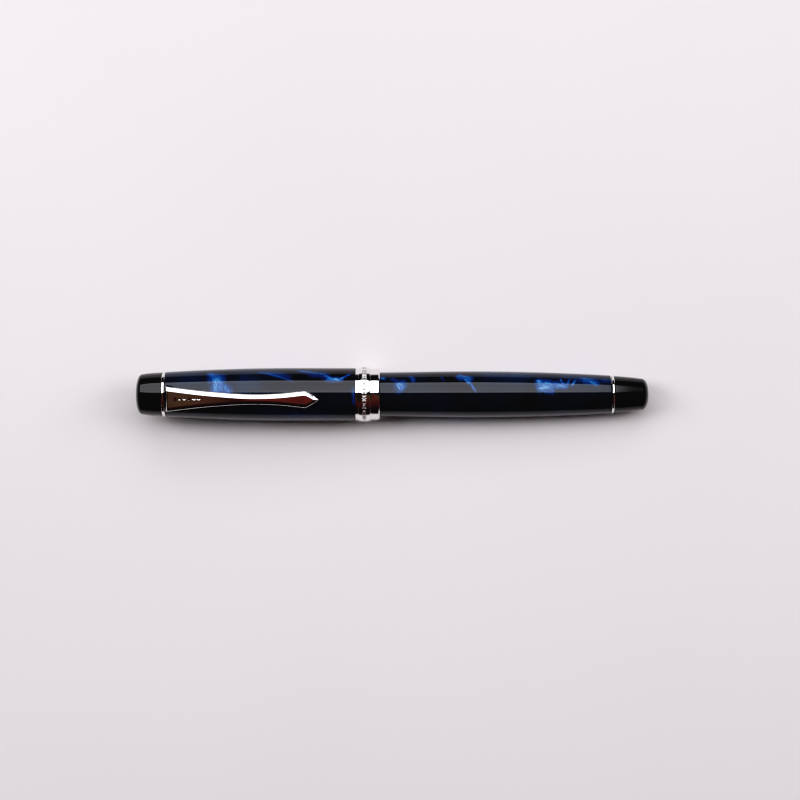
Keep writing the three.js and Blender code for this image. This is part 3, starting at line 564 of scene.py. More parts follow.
def run_tree(piece, tree, **values):
    """Runs a node tree on a piece, with its named inputs set, and keeps the result."""
    modifier = piece.modifiers.new(tree.name, "NODES")
    modifier.node_group = tree
    sockets = {s.name: s.identifier for s in tree.interface.items_tree if s.in_out == "INPUT"}
    for name, value in values.items():
        modifier[sockets[name.replace("_", " ")]] = value
    return settle(piece)


def turned(name, outline, sides=160, closed=False):
    """A turned piece: its outline runs up the outside, from axis to axis or round to its start."""
    if closed:
        outline = [*outline, outline[0]]
    points = [(s, 0, max(r, 0)) for s, r in outline]
    edges = [(i, i + 1) for i in range(len(points) - 1)]
    return run_tree(
        new_piece(name, points, [], edges), LATHE,
        Sides=sides, Axis_height=AXIS_HEIGHT, Finish=FINISHES["black_resin"],
    )


ON_SURFACE = 0.004  # how near a radius or a height counts as lying on it
CAP_THREAD = {
    "start": BARREL_FRONT + 2.6, "length": 3.6, "lead": 2.4, "starts": 2, "foot": 0.8,
    "crest": 0.35,
}
SECTION_THREAD = {
    "start": BARREL_FRONT + 0.6, "length": 4.375, "lead": 1.25, "starts": 1, "foot": 0.85,
    "crest": 0.35,
}
ROD_THREAD = {
    "start": 77.1, "length": 24, "lead": 3.0, "starts": 1, "foot": 1.0, "crest": 0.5,
}
THREAD_RELIEF = 0.4  # plain groove at each end of an inner thread
FINE_STEP = 0.045  # how finely a wall is divided under the cap's thread
SKIN_STEP = 0.25  # how finely the marbled skin is divided


def ends_of(thread):
    return thread["start"], thread["start"] + thread["length"]


def cut_thread(piece, root, depth, thread, roll=0.0):
    """Raises a right-handed thread on the wall whose radius is root; a negative depth is inward."""
    s, y, z = place_of(piece).T
    start, lead, foot, crest = (thread[key] for key in ("start", "lead", "foot", "crest"))
    radius = np.hypot(y, z)
    angle = np.arctan2(-y, z) - roll
    pitch = lead / thread["starts"]
    from_ridge = np.mod(s - start - lead * angle / (2 * math.pi) + pitch / 2, pitch) - pitch / 2
    flank = np.clip((foot / 2 - np.abs(from_ridge)) / ((foot - crest) / 2), 0, 1)
    height = flank * flank * (3 - 2 * flank)
    fade = np.clip(np.minimum(s - start, start + thread["length"] - s) / 0.35 + 0.5, 0, 1)
    on_wall = np.abs(radius - root) < ON_SURFACE
    new_radius = np.where(on_wall, root + depth * height * fade, radius)
    share = new_radius / np.maximum(radius, 1e-6)
    put_back(piece, np.column_stack((s, y * share, z * share)))


# ---------------------------------------------------------------- marbling

# Listed flecks: station, degrees from the top towards +Y, length, width, lean, glow.
# Lean turns a fleck's length from the pen's axis towards the top.
# Painted shade: the near, lower side (negative degrees) is left almost bare of flecks in both lists,
# so it stays dark ground, though real marbling runs all round; each fleck's glow is its own
# brightness.
CAP_FLECKS = [
    (21.6, 44, 4.8, 2.6, 30, 0.4), (22.2, 26, 5.6, 4.6, 70, 0.85), (24.2, 12, 3.0, 3.0, 70, 0.6),
    (37.8, 43, 10.2, 0.75, 20, 0.42), (38.6, 46, 6.0, 2.6, 16, 0.12), (34.8, 53, 4.5, 0.8, 14, 0.3),
    (46.4, 57, 6.6, 0.8, 10, 0.42), (50.3, 47, 3.6, 0.8, 26, 0.5), (48.6, 48, 6.6, 2.6, 12, 0.14),
    (53.0, 34, 4.4, 1.7, 0, 1.0), (55.6, 40, 4.2, 0.7, -34, 0.8), (51.3, 41, 3.2, 0.8, 30, 0.8),
    # Painted shade: the large fleck at -58 degrees, on the lower side, has a glow below zero so that
    # it barely shows.
    (58.2, -5, 4.2, 1.1, 86, 0.25), (46.0, -58, 14.0, 4.0, 4, -0.08),
]
# Painted shade: as on the cap, the barrel's near, lower side gets no fleck and stays dark ground.
BARREL_FLECKS = [
    (65.9, 46, 1.7, 1.0, 20, 0.55), (70.6, 21, 3.2, 3.2, 60, 0.95), (69.6, 36, 3.6, 1.8, 30, 0.15),
    (73.8, 44, 2.6, 1.5, 62, 0.25), (81.8, 44, 2.2, 0.6, 60, 0.1),
    (87.8, 46, 4.8, 2.6, 14, 0.42), (88.4, 36, 3.4, 1.3, 46, 0.6), (89.8, 20, 4.0, 0.8, 60, 0.6),
    (109.2, 21, 5.0, 4.2, 6, 0.9), (112.6, 24, 5.2, 2.6, 2, 0.6), (107.8, 30, 3.0, 2.0, 60, 0.8),
    (113.6, 35, 2.2, 0.6, 70, 0.6), (115.3, 34, 2.4, 0.6, -72, 0.5), (116.8, 33, 2.8, 0.7, -60, 0.6),
    (121.0, 42, 5.6, 2.8, 16, 0.35), (121.6, 37, 4.4, 1.15, 32, 1.0), (125.6, 44, 3.4, 1.8, 0, 0.1),
]
SHOWN = (-95, 85)  # the side with the listed flecks, in degrees from the top


def strewn_flecks(seed, first, last, count):
    """Soft patches, some with a bright streak, for the side that the placed ones leave bare."""
    dice = random.Random(seed)
    made = []
    for _ in range(count):
        station = dice.uniform(first + 2, last - 2)
        angle = dice.uniform(SHOWN[1] + 8, 360 + SHOWN[0] - 8)
        length = dice.uniform(3.0, 8.0)
        width = dice.uniform(1.4, 3.8)
        lean = dice.uniform(-75, 75)
        made.append((station, angle, length, width, lean, dice.uniform(0.08, 0.6)))
        if dice.random() < 0.6:
            station += dice.uniform(-1, 1)
            angle += dice.uniform(-8, 8)
            lean += dice.uniform(-25, 25)
            glow = dice.uniform(0.4, 0.9)
            made.append((station, angle, 0.8 * length, 0.25 * width + 0.3, lean, glow))
    return made


def marble(piece, flecks, skin):
    """Stores how strongly each point of the skin lies in a fleck, and its place in that fleck."""
    s, y, z = place_of(piece).T
    radius = np.hypot(y, z)
    degrees = np.degrees(np.arctan2(y, z))
    strength = np.zeros(len(s))
    glow = np.zeros(len(s))
    grain = np.zeros((len(s), 3))
    for number, (station, angle, length, width, lean, bright) in enumerate(flecks):
        along = s - station
        round_ = np.radians((degrees - angle + 180) % 360 - 180) * radius
        c, d = math.cos(math.radians(lean)), math.sin(math.radians(lean))
        u = along * c - round_ * d
        v = along * d + round_ * c
        bow = v + 0.05 * u * u / length
        here = np.exp(-((u / (0.5 * length)) ** 4 * 0.7 + (bow / (0.5 * width)) ** 2 * 1.1))
        stronger = here > strength
        strength = np.where(stronger, here, strength)
        glow = np.where(stronger, bright, glow)
        spot = np.column_stack((u, bow, np.full(len(s), 7.3 * number)))
        grain = np.where(stronger[:, None], spot, grain)
    strength[radius < skin] = 0
    give(piece, "fleck", strength)
    give(piece, "fleck_glow", glow)
    give(piece, "fleck_grain", grain, "FLOAT_VECTOR")


# ---------------------------------------------------------------- cap

def shell_height(station):
    """Height of the cap shell's skin in front of its fullest part."""
    along = np.clip((station - SHELL_START) / (SHELL_FULL - SHELL_START), 0, 1)
    return SHELL_BELLY - CAP_TAPER * (1 - along) ** 2


def make_crown():
    ring_start, ring_end = span("crown_ring")
    end = ring_start - SEAT
    rear = SHELL_FRONT - 0.1
    corner = rear - 0.46
    outline = [
        (0, 0),
        *rounded_end(0, 1.5, 2.2, corner),
        *bend((1.5, corner), (end / 2, rear - 0.115), (end, rear))[1:],
        (end, rear - 1),
        (ring_end, rear - 1),
        (ring_end, 1.8),
        (3.1, 1.8),
        (3.1, 0),
    ]
    piece = turned("crown", soften(outline, 0.09), 192)
    return dress(piece, "crown", "black_resin", "cap_core")


def make_ring(node, bore, radius, body, step=0.0):
    """A thin half-round trim ring; a step sets its rim back from the resin in front of it."""
    start, end = span(node)
    start += step
    foot, top = radius - 0.12, radius + 0.06
    outline = [
        *bend((start, foot), (start + 0.02, radius + 0.05), (start + 0.2, top), 6),
        *bend((end - 0.2, top), (end - 0.02, radius + 0.05), (end, foot), 6),
        (end, bore),
        (start, bore),
    ]
    piece = turned(node, outline, 192, closed=True)
    return dress(piece, node, "polished_trim", body)


CROWN_RING_BORE = 4.98
CAP_BORE = 5.4
CAP_THREAD_ROOT = 5.75
MOUTH_BORE = 6.0
CHAMBER_BORE = CAP_BORE - 0.35
CHAMBER_START = 10.1
CROWN_SEAT_BORE = 4.48
SCREW_HOLE = 2.2


def make_cap_shell():
    skin = [
        *bend(
            (SHELL_START, SHELL_FRONT),
            ((SHELL_START + SHELL_FULL) / 2, SHELL_BELLY),
            (SHELL_FULL, SHELL_BELLY), 140,
        ),
        *subdivided([(SHELL_FULL, SHELL_BELLY), (SHELL_END, SHELL_BELLY - 0.04)], SKIN_STEP)[1:],
    ]
    spigot = 6.4
    spigot_end = span("cap_shell")[1]
    front, rear = ends_of(CAP_THREAD)
    front, rear = front - THREAD_RELIEF, rear + THREAD_RELIEF
    seat_depth = 8.6
    inside = [
        (SHELL_END, spigot),
        (spigot_end, spigot),
        (spigot_end, MOUTH_BORE),
        (SHOULDER - SEAT, MOUTH_BORE),
        (SHOULDER - SEAT, CAP_BORE),
        (rear, CAP_BORE),
        *subdivided([(rear, CAP_THREAD_ROOT), (front, CAP_THREAD_ROOT)], FINE_STEP),
        (front, CAP_BORE),
        (SECTION_FRONT + 0.1, CAP_BORE),
        (SECTION_FRONT + 0.1, CHAMBER_BORE),
        (CHAMBER_START, CHAMBER_BORE),
        (CHAMBER_START, SCREW_HOLE),
        (seat_depth, SCREW_HOLE),
        (seat_depth, CROWN_SEAT_BORE),
        (SHELL_START, CROWN_SEAT_BORE),
    ]
    piece = turned("cap_shell", soften([*skin, *inside], 0.05, closed=True), 168, closed=True)
    cut_thread(piece, CAP_THREAD_ROOT, CAP_BORE - CAP_THREAD_ROOT, CAP_THREAD, CAP_ROLL)
    flecks = CAP_FLECKS + strewn_flecks(11, SHELL_START, SHELL_END, 15)
    marble(piece, flecks, SHELL_FRONT - 0.6)
    return dress(piece, "cap_shell", "marbled_resin", "cap_body")


def make_inner_cap():
    start, end = span("inner_cap")
    outline = [
        (start, 4.95), (end - 0.3, 4.95), (end, 4.75), (end, 4.4), (end - 0.15, 4.25),
        (start + 1.2, 4.25), (start + 1.2, 1.8), (start, 1.8),
    ]
    piece = turned("inner_cap", soften(outline, 0.12, closed=True), 96, closed=True)
    return dress(piece, "inner_cap", "black_moulding", "cap_core")


BELT_REPEATS = 22
BELT_ENGRAVED = 0.06


def belt_ornament(s, angle, middle):
    """How deep the belt is engraved, from 0 to 1: lozenges with paired leaves between them."""
    turn = (angle / (2 * math.pi) * BELT_REPEATS) % 1
    across = (turn - 0.5) * 2 * math.pi * BELT / BELT_REPEATS
    up = s - middle
    lozenge = 1 - (np.abs(across) / 0.42 + np.abs(up) / 0.72)
    heart = 1 - (np.abs(across) / 0.17 + np.abs(up) / 0.30)
    side = np.abs(across) - 0.80
    leaf = 1 - ((side + 0.22 * np.cos(up * 2.1)) / 0.13) ** 2 - (up / 0.62) ** 2
    marks = np.maximum(np.where(heart > 0, -1, lozenge), leaf * 0.5)
    return np.clip(marks * 6, 0, 1)


def make_cap_band():
    start = span("cap_band")[0]
    belt_start, belt_end = start + 0.82, start + 3.95
    edge = BELT - 0.15
    lip = BAND - 0.1
    bore = 6.5
    belt = bend((belt_start + 0.03, edge), ((belt_start + belt_end) / 2, BELT + 0.15),
                (belt_end - 0.03, edge), 44)
    outline = [
        (start, BAND - 0.06), (start + 0.06, BAND), (belt_start, BAND), (belt_start, edge - 0.03),
        *belt,
        (belt_end, edge - 0.03), (belt_end, lip - 0.10), (belt_end + 0.07, lip - 0.10),
        (belt_end + 0.10, lip), (CAP_MOUTH - 0.32, lip), (CAP_MOUTH - 0.06, lip - 0.16),
        (CAP_MOUTH, lip - 0.3),
        (CAP_MOUTH, MOUTH_BORE), (CAP_MOUTH - 0.3, MOUTH_BORE), (CAP_MOUTH - 0.3, bore),
        (start, bore),
    ]
    piece = turned("cap_band", soften(outline, 0.02, closed=True), 720, closed=True)
    s, y, z = place_of(piece).T
    radius = np.hypot(y, z)
    depth = belt_ornament(s, np.arctan2(y, z) % (2 * math.pi), (belt_start + belt_end) / 2)
    depth = np.where((radius > edge) & (s > belt_start) & (s < belt_end), depth, 0)
    share = (radius - BELT_ENGRAVED * depth) / radius
    put_back(piece, np.column_stack((s, y * share, z * share)))
    give(piece, "engraved", depth)
    return dress(piece, "cap_band", "polished_trim", "cap_body")


# ---------------------------------------------------------------- clip

CLIP_START, CLIP_END = span("clip_arm")
CLIP_HEAD = CLIP_START + 36.8
CLIP_BEVEL = 1.05
CLIP_BEVEL_DROP = 0.42
CLIP_THICKNESS = 0.8
CLIP_WIDTHS = [
    (8.4, 3.38), (10.9, 3.08), (14.8, 2.60), (18.8, 2.165), (22.8, 1.83), (26.7, 1.54),
    (31.2, 1.37), (35.9, 1.44), (39.9, 1.69), (43.0, 2.03), (45.2, 2.27),
]


CLIP_WIDEST, CLIP_WIDEST_HALF = CLIP_WIDTHS[-1]


def clip_half_width(s):
    """Half the clip's width: a waisted arm, then a pointed tip."""
    arm = smooth_through(CLIP_WIDTHS, s)
    stations = [CLIP_WIDEST, 45.6, 46.6, 47.9, CLIP_END]
    tip = np.interp(s, stations, [CLIP_WIDEST_HALF, 2.22, 1.74, 0.98, 0.06])
    return np.where(s > CLIP_WIDEST, tip, arm)


def clip_top(s):
    """Height of the clip's flat face above the pen's axis."""
    root_top = SHELL_FRONT + 2.2
    head_top = SHELL_BELLY + 1.6
    along = np.clip((s - CLIP_START) / (CLIP_HEAD - CLIP_START), 0, 1)
    arm = root_top + (head_top - root_top) * (s - CLIP_START) / (CLIP_HEAD - CLIP_START)
    arm += 0.12 * np.sin(math.pi * along)
    nose_stations = [0, 0.03, 0.07, 0.28, 0.36, 0.5]
    nose = np.interp(s - CLIP_START, nose_stations, [0.66, 0.58, 0.5, 0.10, 0.03, 0])
    tip = np.clip((s - (CLIP_END - 2.2)) / 2.2, 0, 1)
    return arm - nose - 0.18 * tip ** 3


CLIP_MARKS = 6
CLIP_MARK_PITCH = 1.28
FIRST_CLIP_MARK = 10.9
CLIP_MARK_DEPTH = 0.07


def clip_mark_depth(s, y):
    """How deep the clip's face is cut near its root, from 0 to 1: a row of lozenges and dashes."""
    depth = np.zeros(np.broadcast(s, y).shape)
    for number in range(CLIP_MARKS):
        middle = FIRST_CLIP_MARK + CLIP_MARK_PITCH * number
        lozenge = number % 3 == 0
        tall, long_ = (0.44, 0.46) if lozenge else (0.20, 0.58)
        mark = 1 - (np.abs(s - middle) / long_ + np.abs(y - 0.1) / tall)
        depth = np.maximum(depth, np.clip(mark * 5, 0, 1))
    return depth


CLIP_EDGE = 0.32
UNDERSIDE_POINTS = 21


def clip_section(s):
    """One cross-section of the clip: over its face and bevels, then back along the underside."""
    half = float(clip_half_width(s))
    top = float(clip_top(s))
    bevel = min(CLIP_BEVEL, 0.92 * half)
    drop = CLIP_BEVEL_DROP * bevel / CLIP_BEVEL
    flat = half - bevel
    edge = min(CLIP_EDGE, 0.5 * bevel)
    rim = top - drop
    on_bevel = (-half + edge, rim + drop * edge / bevel)
    left = bend((-half, rim - edge), (-half, rim), on_bevel, 7)
    step = 0.12 * bevel
    face = np.linspace(-flat, flat, 27)
    left += bend((-flat - step, top - drop * step / bevel), (-flat, top), (face[1], top), 3)[:-1]
    upper = left + [(y, top) for y in face[1:-1]]
    upper += [(-y, z) for y, z in reversed(left)]
    root = 1 - np.clip((s - CLIP_START - 1.3) / 1.5, 0, 1)
    root = root * root * (3 - 2 * root)
    lump_place = (s - (CLIP_HEAD + 0.8)) / 2.1
    lump_depth = 1.6 - CLIP_THICKNESS - 0.12
    lump = lump_depth * max(0, 1 - lump_place ** 2) ** 1.5
    saddle_radius = float(shell_height(s)) + 0.16
    lowest_side = rim - edge - 0.06
    under = []
    for y in np.linspace(half, -half, UNDERSIDE_POINTS):
        plain = top - drop * max(0, (abs(y) - flat) / max(bevel, 1e-6)) - CLIP_THICKNESS
        plain = min(plain, lowest_side) - lump * max(0, 1 - (y / (0.8 * half + 0.01)) ** 2)
        saddle = math.sqrt(max(saddle_radius ** 2 - y ** 2, 0.01))
        saddle = min(max(saddle, saddle_radius - 1.3), lowest_side)
        under.append((y, plain + (saddle - plain) * root))
    return upper + under


def make_clip_arm():
    root_end, marks_end, tip_start = CLIP_START + 3, CLIP_START + 15, 45
    stations = np.concatenate((
        np.linspace(CLIP_START, root_end, 26)[:-1],
        np.linspace(root_end, marks_end, 121)[:-1],
        np.linspace(marks_end, tip_start, 90)[:-1],
        np.linspace(tip_start, CLIP_END, 50),
    ))
    rows = [[(s, y, z) for y, z in clip_section(s)] for s in stations]
    points = np.array(rows).reshape(-1, 3)
    depth = clip_mark_depth(points[:, 0], points[:, 1])
    tops = clip_top(points[:, 0])
    depth = np.where(np.abs(points[:, 2] - tops) < 0.75 * ON_SURFACE, depth, 0)
    points[:, 2] -= CLIP_MARK_DEPTH * depth
    piece = new_piece("clip_arm", rolled(points), skin_faces(len(rows), len(rows[0])))
    give(piece, "engraved", depth * 0.4)
    return dress(piece, "clip_arm", "polished_trim", "clip", sharp=22)


def skin_faces(rows, corners):
    """Faces of a body made of closed rows of points, with a face on each end."""
    faces = []
    for row in range(rows - 1):
        for i in range(corners):
            j = (i + 1) % corners
            a, b = row * corners + i, row * corners + j
            faces.append((a, b, b + corners, a + corners))
    last = (rows - 1) * corners
    faces.append(tuple(range(corners - 1, -1, -1)))
    faces.append(tuple(range(last, last + corners)))
    return faces


# ---------------------------------------------------------------- nib, feed and section

NIB_BASE = span("nib")[1]
NIB_SHEET = 0.35
FEED_RADIUS = 2.85
NIB_ROWS = [
    (15.8, 0.22, 3.4, 1.30), (17.0, 0.50, 3.4, 1.40), (19.0, 0.98, 3.4, 1.64),
    (21.5, 1.55, 3.4, 2.02), (23.8, 2.12, 3.4, 2.36), (25.4, 2.66, 3.4, 2.58),
    (27.0, 2.94, 3.35, 2.74), (29.0, 3.05, 3.2, 2.84), (31.9, 2.80, 2.85, 2.85),
    (36.0, 2.72, 2.85, 2.85), (40.0, 2.2, 2.85, 2.85),
]
BREATHER = SECTION_FRONT - 4.4
BREATHER_RADIUS = 0.55
SLIT_HALF = 0.05
FIN_SLOTS = 13
FIN_PITCH = 0.74
FIN_SLOT = 0.3


def nib_sheet(name, above, below, spread, steps=140, across=40):
    """A sheet that follows the nib's arch, between two distances from its upper face."""
    tip = span("nib")[0]
    knots = np.array(NIB_ROWS) + [0, spread, 0, 0]
    knots[0, 0], knots[-1, 0] = tip - spread, NIB_BASE + spread
    rows = []
    for s in np.linspace(knots[0, 0], knots[-1, 0], steps):
        half, radius, crown = (float(smooth_through(knots[:, (0, k)], s)) for k in (1, 2, 3))
        widest = math.asin(min(0.985, half / radius))
        turns = np.linspace(-widest, widest, across + 1)
        rows.append([
            (s, r * math.sin(a), crown - radius + r * math.cos(a))
            for r, side in ((radius + above, turns), (radius - below, turns[::-1])) for a in side
        ])
    return new_piece(name, np.array(rows).reshape(-1, 3), skin_faces(len(rows), len(rows[0])))


def cutter_block(name, low, high):
    x, y, z = zip(low, high)
    points = [(a, b, c) for a in x for b in y for c in z]
    faces = [(0, 1, 3, 2), (4, 6, 7, 5), (0, 4, 5, 1), (2, 3, 7, 6), (0, 2, 6, 4), (1, 5, 7, 3)]
    return new_piece(name, points, faces)


def cut(piece, *cutters):
    """Cuts other pieces out of this one and throws them away."""
    for cutter in cutters:
        modifier = piece.modifiers.new("cut", "BOOLEAN")
        modifier.operation = "DIFFERENCE"
        modifier.solver = "EXACT"
        modifier.object = cutter
        settle(piece)
        bpy.data.objects.remove(cutter)
    return piece


def nib_scrolls(s, y):
    """Engraving: a border line inside the edge, chevron lines and two curls by the breather."""
    half = smooth_through(np.array(NIB_ROWS)[:, (0, 1)], s)
    border = np.exp(-((half - np.abs(y) - 0.42) / 0.05) ** 2)
    border += 0.8 * np.exp(-((half - np.abs(y) - 0.60) / 0.03) ** 2)
    border *= (s > 20.5) & (s < 31.5)
    curls = np.zeros_like(s)
    for station, side, size in ((28.6, 1.25, 0.62), (26.6, 1.05, 0.42), (30.4, 1.2, 0.5)):
        away = np.hypot(s - station, np.abs(y) - side)
        turn = np.arctan2(np.abs(y) - side, s - station)
        spiral = np.cos(away / size * 9 - turn)
        curls = np.maximum(curls, np.clip(spiral * 3 - 1.8, 0, 1) * (away < size))
    chevron = np.exp(-((s - 24.2 - 0.9 * np.abs(y)) / 0.05) ** 2) * (np.abs(y) < 1.4)
    return np.clip(border + curls + chevron, 0, 1)


def make_nib():
    piece = nib_sheet("nib", 0, NIB_SHEET, 0, 220, 72)
    slit = cutter_block("slit", (10, -SLIT_HALF, 0), (BREATHER, SLIT_HALF, 6))
    turns = np.linspace(0, 2 * math.pi, 33)[:-1]
    radius = BREATHER_RADIUS
    rim = [(BREATHER + radius * math.cos(a), radius * math.sin(a)) for a in turns]
    hole = new_piece(
        "hole",
        [(s, y, 0) for s, y in rim] + [(s, y, 6) for s, y in rim],
        skin_faces(2, len(rim)),
    )
    cut(piece, slit, hole)
    s, y, _ = place_of(piece).T
    give(piece, "engraved", nib_scrolls(s, y))
    return dress(piece, "nib", "nib_metal", "writing_unit", sharp=30)


def make_tipping():
    start, end = span("nib_tipping")
    middle = (start + end) / 2
    radius = 0.35
    turns = np.linspace(0, math.pi, 25)
    outline = [(middle - radius * math.cos(a), radius * math.sin(a)) for a in turns]
    piece = turned("nib_tipping", outline, 48)
    points = place_of(piece)
    points[:, 2] += NIB_ROWS[0][3] - NIB_SHEET / 2
    put_back(piece, points)
    return dress(piece, "nib_tipping", "grey_metal", "writing_unit")


def fin_tree():
    """Cuts a row of equal slots across a piece."""
    tree, bench, given = shape_tree(
        "fin_slots", Body="Geometry", Slots="Int", First_slot="Vector", Pitch="Vector",
        Slot_size="Vector", Finish="Material",
    )
    body, slots, first, pitch, size, finish = given
    line = bench.node("GeometryNodeMeshLine")
    bench.feed(line.inputs["Count"], slots)
    bench.feed(line.inputs["Start Location"], first)
    bench.feed(line.inputs["Offset"], pitch)
    blade = bench.node("GeometryNodeMeshCube", size)
    blades = bench.node("GeometryNodeInstanceOnPoints", line, Instance=blade)
    comb = bench.node("GeometryNodeRealizeInstances", blades)
    difference = {"operation": "DIFFERENCE", "solver": "EXACT"}
    finned = bench.node("GeometryNodeMeshBoolean", settings=difference)
    bench.feed(finned.inputs["Mesh 1"], body)
    bench.feed(finned.inputs["Mesh 2"], comb)
    finish_tree(bench, finned.outputs[0], finish)
    return tree


def make_feed():
    nose, rear = span("feed")
    outline = [
        (nose, 0), (nose, 0.75),
        *bend((nose + 0.3, 1.1), (nose + 5.5, 2.55), (SECTION_FRONT - 0.5, FEED_RADIUS), 24),
        (rear, FEED_RADIUS), (rear, 0),
    ]
    piece = turned("feed", soften(outline, 0.1), 96)
    channel = cutter_block("channel", (nose - 1, -0.12, 0.4), (rear - 3, 0.12, 6))
    cut(piece, nib_sheet("nib_bed", 3, NIB_SHEET + 0.06, 0.12, 60, 24), channel)
    first = to_scene([(SECTION_FRONT - 1.2, 0, -2.6)])[0]
    run_tree(
        piece, fin_tree(), Slots=FIN_SLOTS, First_slot=tuple(first), Pitch=(-FIN_PITCH * MM, 0, 0),
        Slot_size=(FIN_SLOT * MM, 8 * MM, 3.9 * MM), Finish=FINISHES["black_moulding"],
    )
    return dress(piece, "feed", "black_moulding", "writing_unit", sharp=28)


FEED_BORE = 2.95
NIPPLE_SEAT_END, NIPPLE_SEAT_BORE = 45.4, 3.3
COLLAR_SEAT_START, COLLAR_SEAT_BORE = 48, 3.9


def make_section():
    lip = 4.78
    waist = 4.5
    front, rear = SECTION_FRONT, SECTION_REAR
    outline = [
        (front, 4.2),
        *bend((front + 0.02, 4.35), (front + 0.1, lip), (front + 1.0, lip), 14),
        *easing((front + 1.3, lip), (front + 2.6, lip - 0.05),
                (front + 2.9, waist), (front + 4.4, waist), 20),
        *bend((front + 4.4, waist), (44, waist + 0.02), (rear - 0.9, 4.93), 30)[1:],
        (rear - 0.2, 4.95), (rear, 4.85),
        (rear, COLLAR_SEAT_BORE), (COLLAR_SEAT_START, COLLAR_SEAT_BORE),
        (COLLAR_SEAT_START, NIPPLE_SEAT_BORE), (NIPPLE_SEAT_END, NIPPLE_SEAT_BORE),
        (NIPPLE_SEAT_END, FEED_BORE), (front, FEED_BORE),
    ]
    piece = turned("section", soften(outline, 0.08, closed=True), 168, closed=True)
    return dress(piece, "section", "black_resin", "writing_unit")


COLLAR_RADIUS = 3.6
SOCKET_BORE = 3.3  # bore of the collar and the ferrule


def make_thread_collar():
    start, end = span("section_thread_collar")
    flange = COLLAR_SEAT_BORE - 0.1
    outline = [
        (start, flange), (SECTION_REAR, flange), (SECTION_REAR, COLLAR_RADIUS),
        *subdivided([(SECTION_REAR + 0.1, COLLAR_RADIUS), (end - 0.25, COLLAR_RADIUS)], 0.05),
        (end, COLLAR_RADIUS - 0.15), (end, SOCKET_BORE), (start, SOCKET_BORE),
    ]
    piece = turned("section_thread_collar", soften(outline, 0.03, closed=True), 120, closed=True)
    cut_thread(piece, COLLAR_RADIUS, 0.3, SECTION_THREAD)
    return dress(piece, "section_thread_collar", "grey_metal", "writing_unit")


NIPPLE_RADIUS = 1.5
NIPPLE_BORE = 0.8


def make_ink_nipple():
    start, end = span("ink_nipple")
    flange_end = start + 1.4
    outline = [
        (start, FEED_RADIUS), (flange_end, FEED_RADIUS), (flange_end, NIPPLE_RADIUS),
        (end - 0.5, NIPPLE_RADIUS), (end, 1.15), (end, NIPPLE_BORE), (start, NIPPLE_BORE),
    ]
    piece = turned("ink_nipple", soften(outline, 0.1, closed=True), 64, closed=True)
    return dress(piece, "ink_nipple", "black_moulding", "writing_unit")


# ---------------------------------------------------------------- converter

TUBE_RADIUS = 3.2
TUBE_BORE = 2.6
FERRULE_RADIUS = 3.6
ROD_CORE = 0.85
ROD_THREAD_DEPTH = 0.5
KNOB_NECK = 2.5


def make_converter_tube():
    start, end = span("converter_tube")
    mouth_end, mouth = start + 1.2, NIPPLE_RADIUS + 0.1
    outline = [
        (start, TUBE_RADIUS - 0.25), (start + 0.35, TUBE_RADIUS), (end, TUBE_RADIUS),
        (end, TUBE_BORE), (mouth_end, TUBE_BORE), (mouth_end, mouth), (start, mouth),
    ]
    piece = turned("converter_tube", soften(outline, 0.12, closed=True), 96, closed=True)
    return dress(piece, "converter_tube", "clear_tube", "converter_body")


def make_converter_ferrule():
    start, end = span("converter_ferrule")
    outside = FERRULE_RADIUS
    lip_start, lip_bore = end - 0.8, 2.6
    outline = [(start, outside - 0.1), (start + 0.1, outside)]
    for groove in (start + 2.2, start + 3.0, end - 1.6):
        outline += bend((groove - 0.22, outside), (groove, 3.42), (groove + 0.22, outside), 6)
    outline += [
        (end - 0.1, outside), (end, outside - 0.1), (end, lip_bore), (lip_start, lip_bore),
        (lip_start, SOCKET_BORE), (start, SOCKET_BORE),
    ]
    piece = turned("converter_ferrule", soften(outline, 0.06, closed=True), 96, closed=True)
    return dress(piece, "converter_ferrule", "polished_trim", "converter_body")


def make_piston_seal():
    start, end = span("piston_seal")
    lip, waist, socket = TUBE_BORE - 0.1, 2.0, 0.95
    outline = [
        (start, 0), (start, 1.9),
        *bend((start + 0.1, 2.2), (start + 0.2, lip), (start + 0.6, lip), 8),
        *bend((start + 1.0, lip), (start + 1.3, lip - 0.05), (start + 1.5, waist), 8),
        *bend((end - 1.5, waist), (end - 1.3, lip - 0.05), (end - 1.0, lip), 8),
        (end, lip), (end, socket), (start + 1.1, socket), (start + 1.1, 0),
    ]
    piece = turned("piston_seal", soften(outline, 0.1), 72)
    return dress(piece, "piston_seal", "seal_rubber", "piston")


def make_piston_rod():
    start, end = span("piston_rod")
    outline = [
        (start, 0), (start, ROD_CORE),
        *subdivided([(start + 0.2, ROD_CORE), (end - 0.2, ROD_CORE)], 0.1),
        (end, ROD_CORE - 0.15), (end, 0),
    ]
    piece = turned("piston_rod", outline, 48)
    cut_thread(piece, ROD_CORE, ROD_THREAD_DEPTH, ROD_THREAD)
    points = place_of(piece)
    points[:, 1] = np.clip(points[:, 1], -ROD_CORE, ROD_CORE)
    put_back(piece, points)
    return dress(piece, "piston_rod", "black_moulding", "piston")


def rib_tree():
    """Sets equal ribs round a knob's grip."""
    tree, bench, given = shape_tree(
        "grip_ribs", Knob="Geometry", Ribs="Int", Rib_length="Float", Rib_radius="Float",
        Ring_radius="Float", Middle="Vector", Finish="Material",
    )
    knob, ribs, length, rib_radius, ring_radius, middle, finish = given
    rod = bench.node("GeometryNodeMeshCylinder", 8, 1, 1, rib_radius, length)
    ring = bench.node("GeometryNodeMeshCircle", ribs, ring_radius)
    rods = bench.node("GeometryNodeInstanceOnPoints", ring, Instance=rod.outputs[0])
    turn = (0, math.pi / 2, 0)
    moved = bench.node("GeometryNodeTransform", rods, Translation=middle, Rotation=turn)
    both = bench.node("GeometryNodeJoinGeometry")
    bench.tree.links.new(knob, both.inputs[0])
    bench.tree.links.new(moved.outputs[0], both.inputs[0])
    finish_tree(bench, both, finish)
    return tree


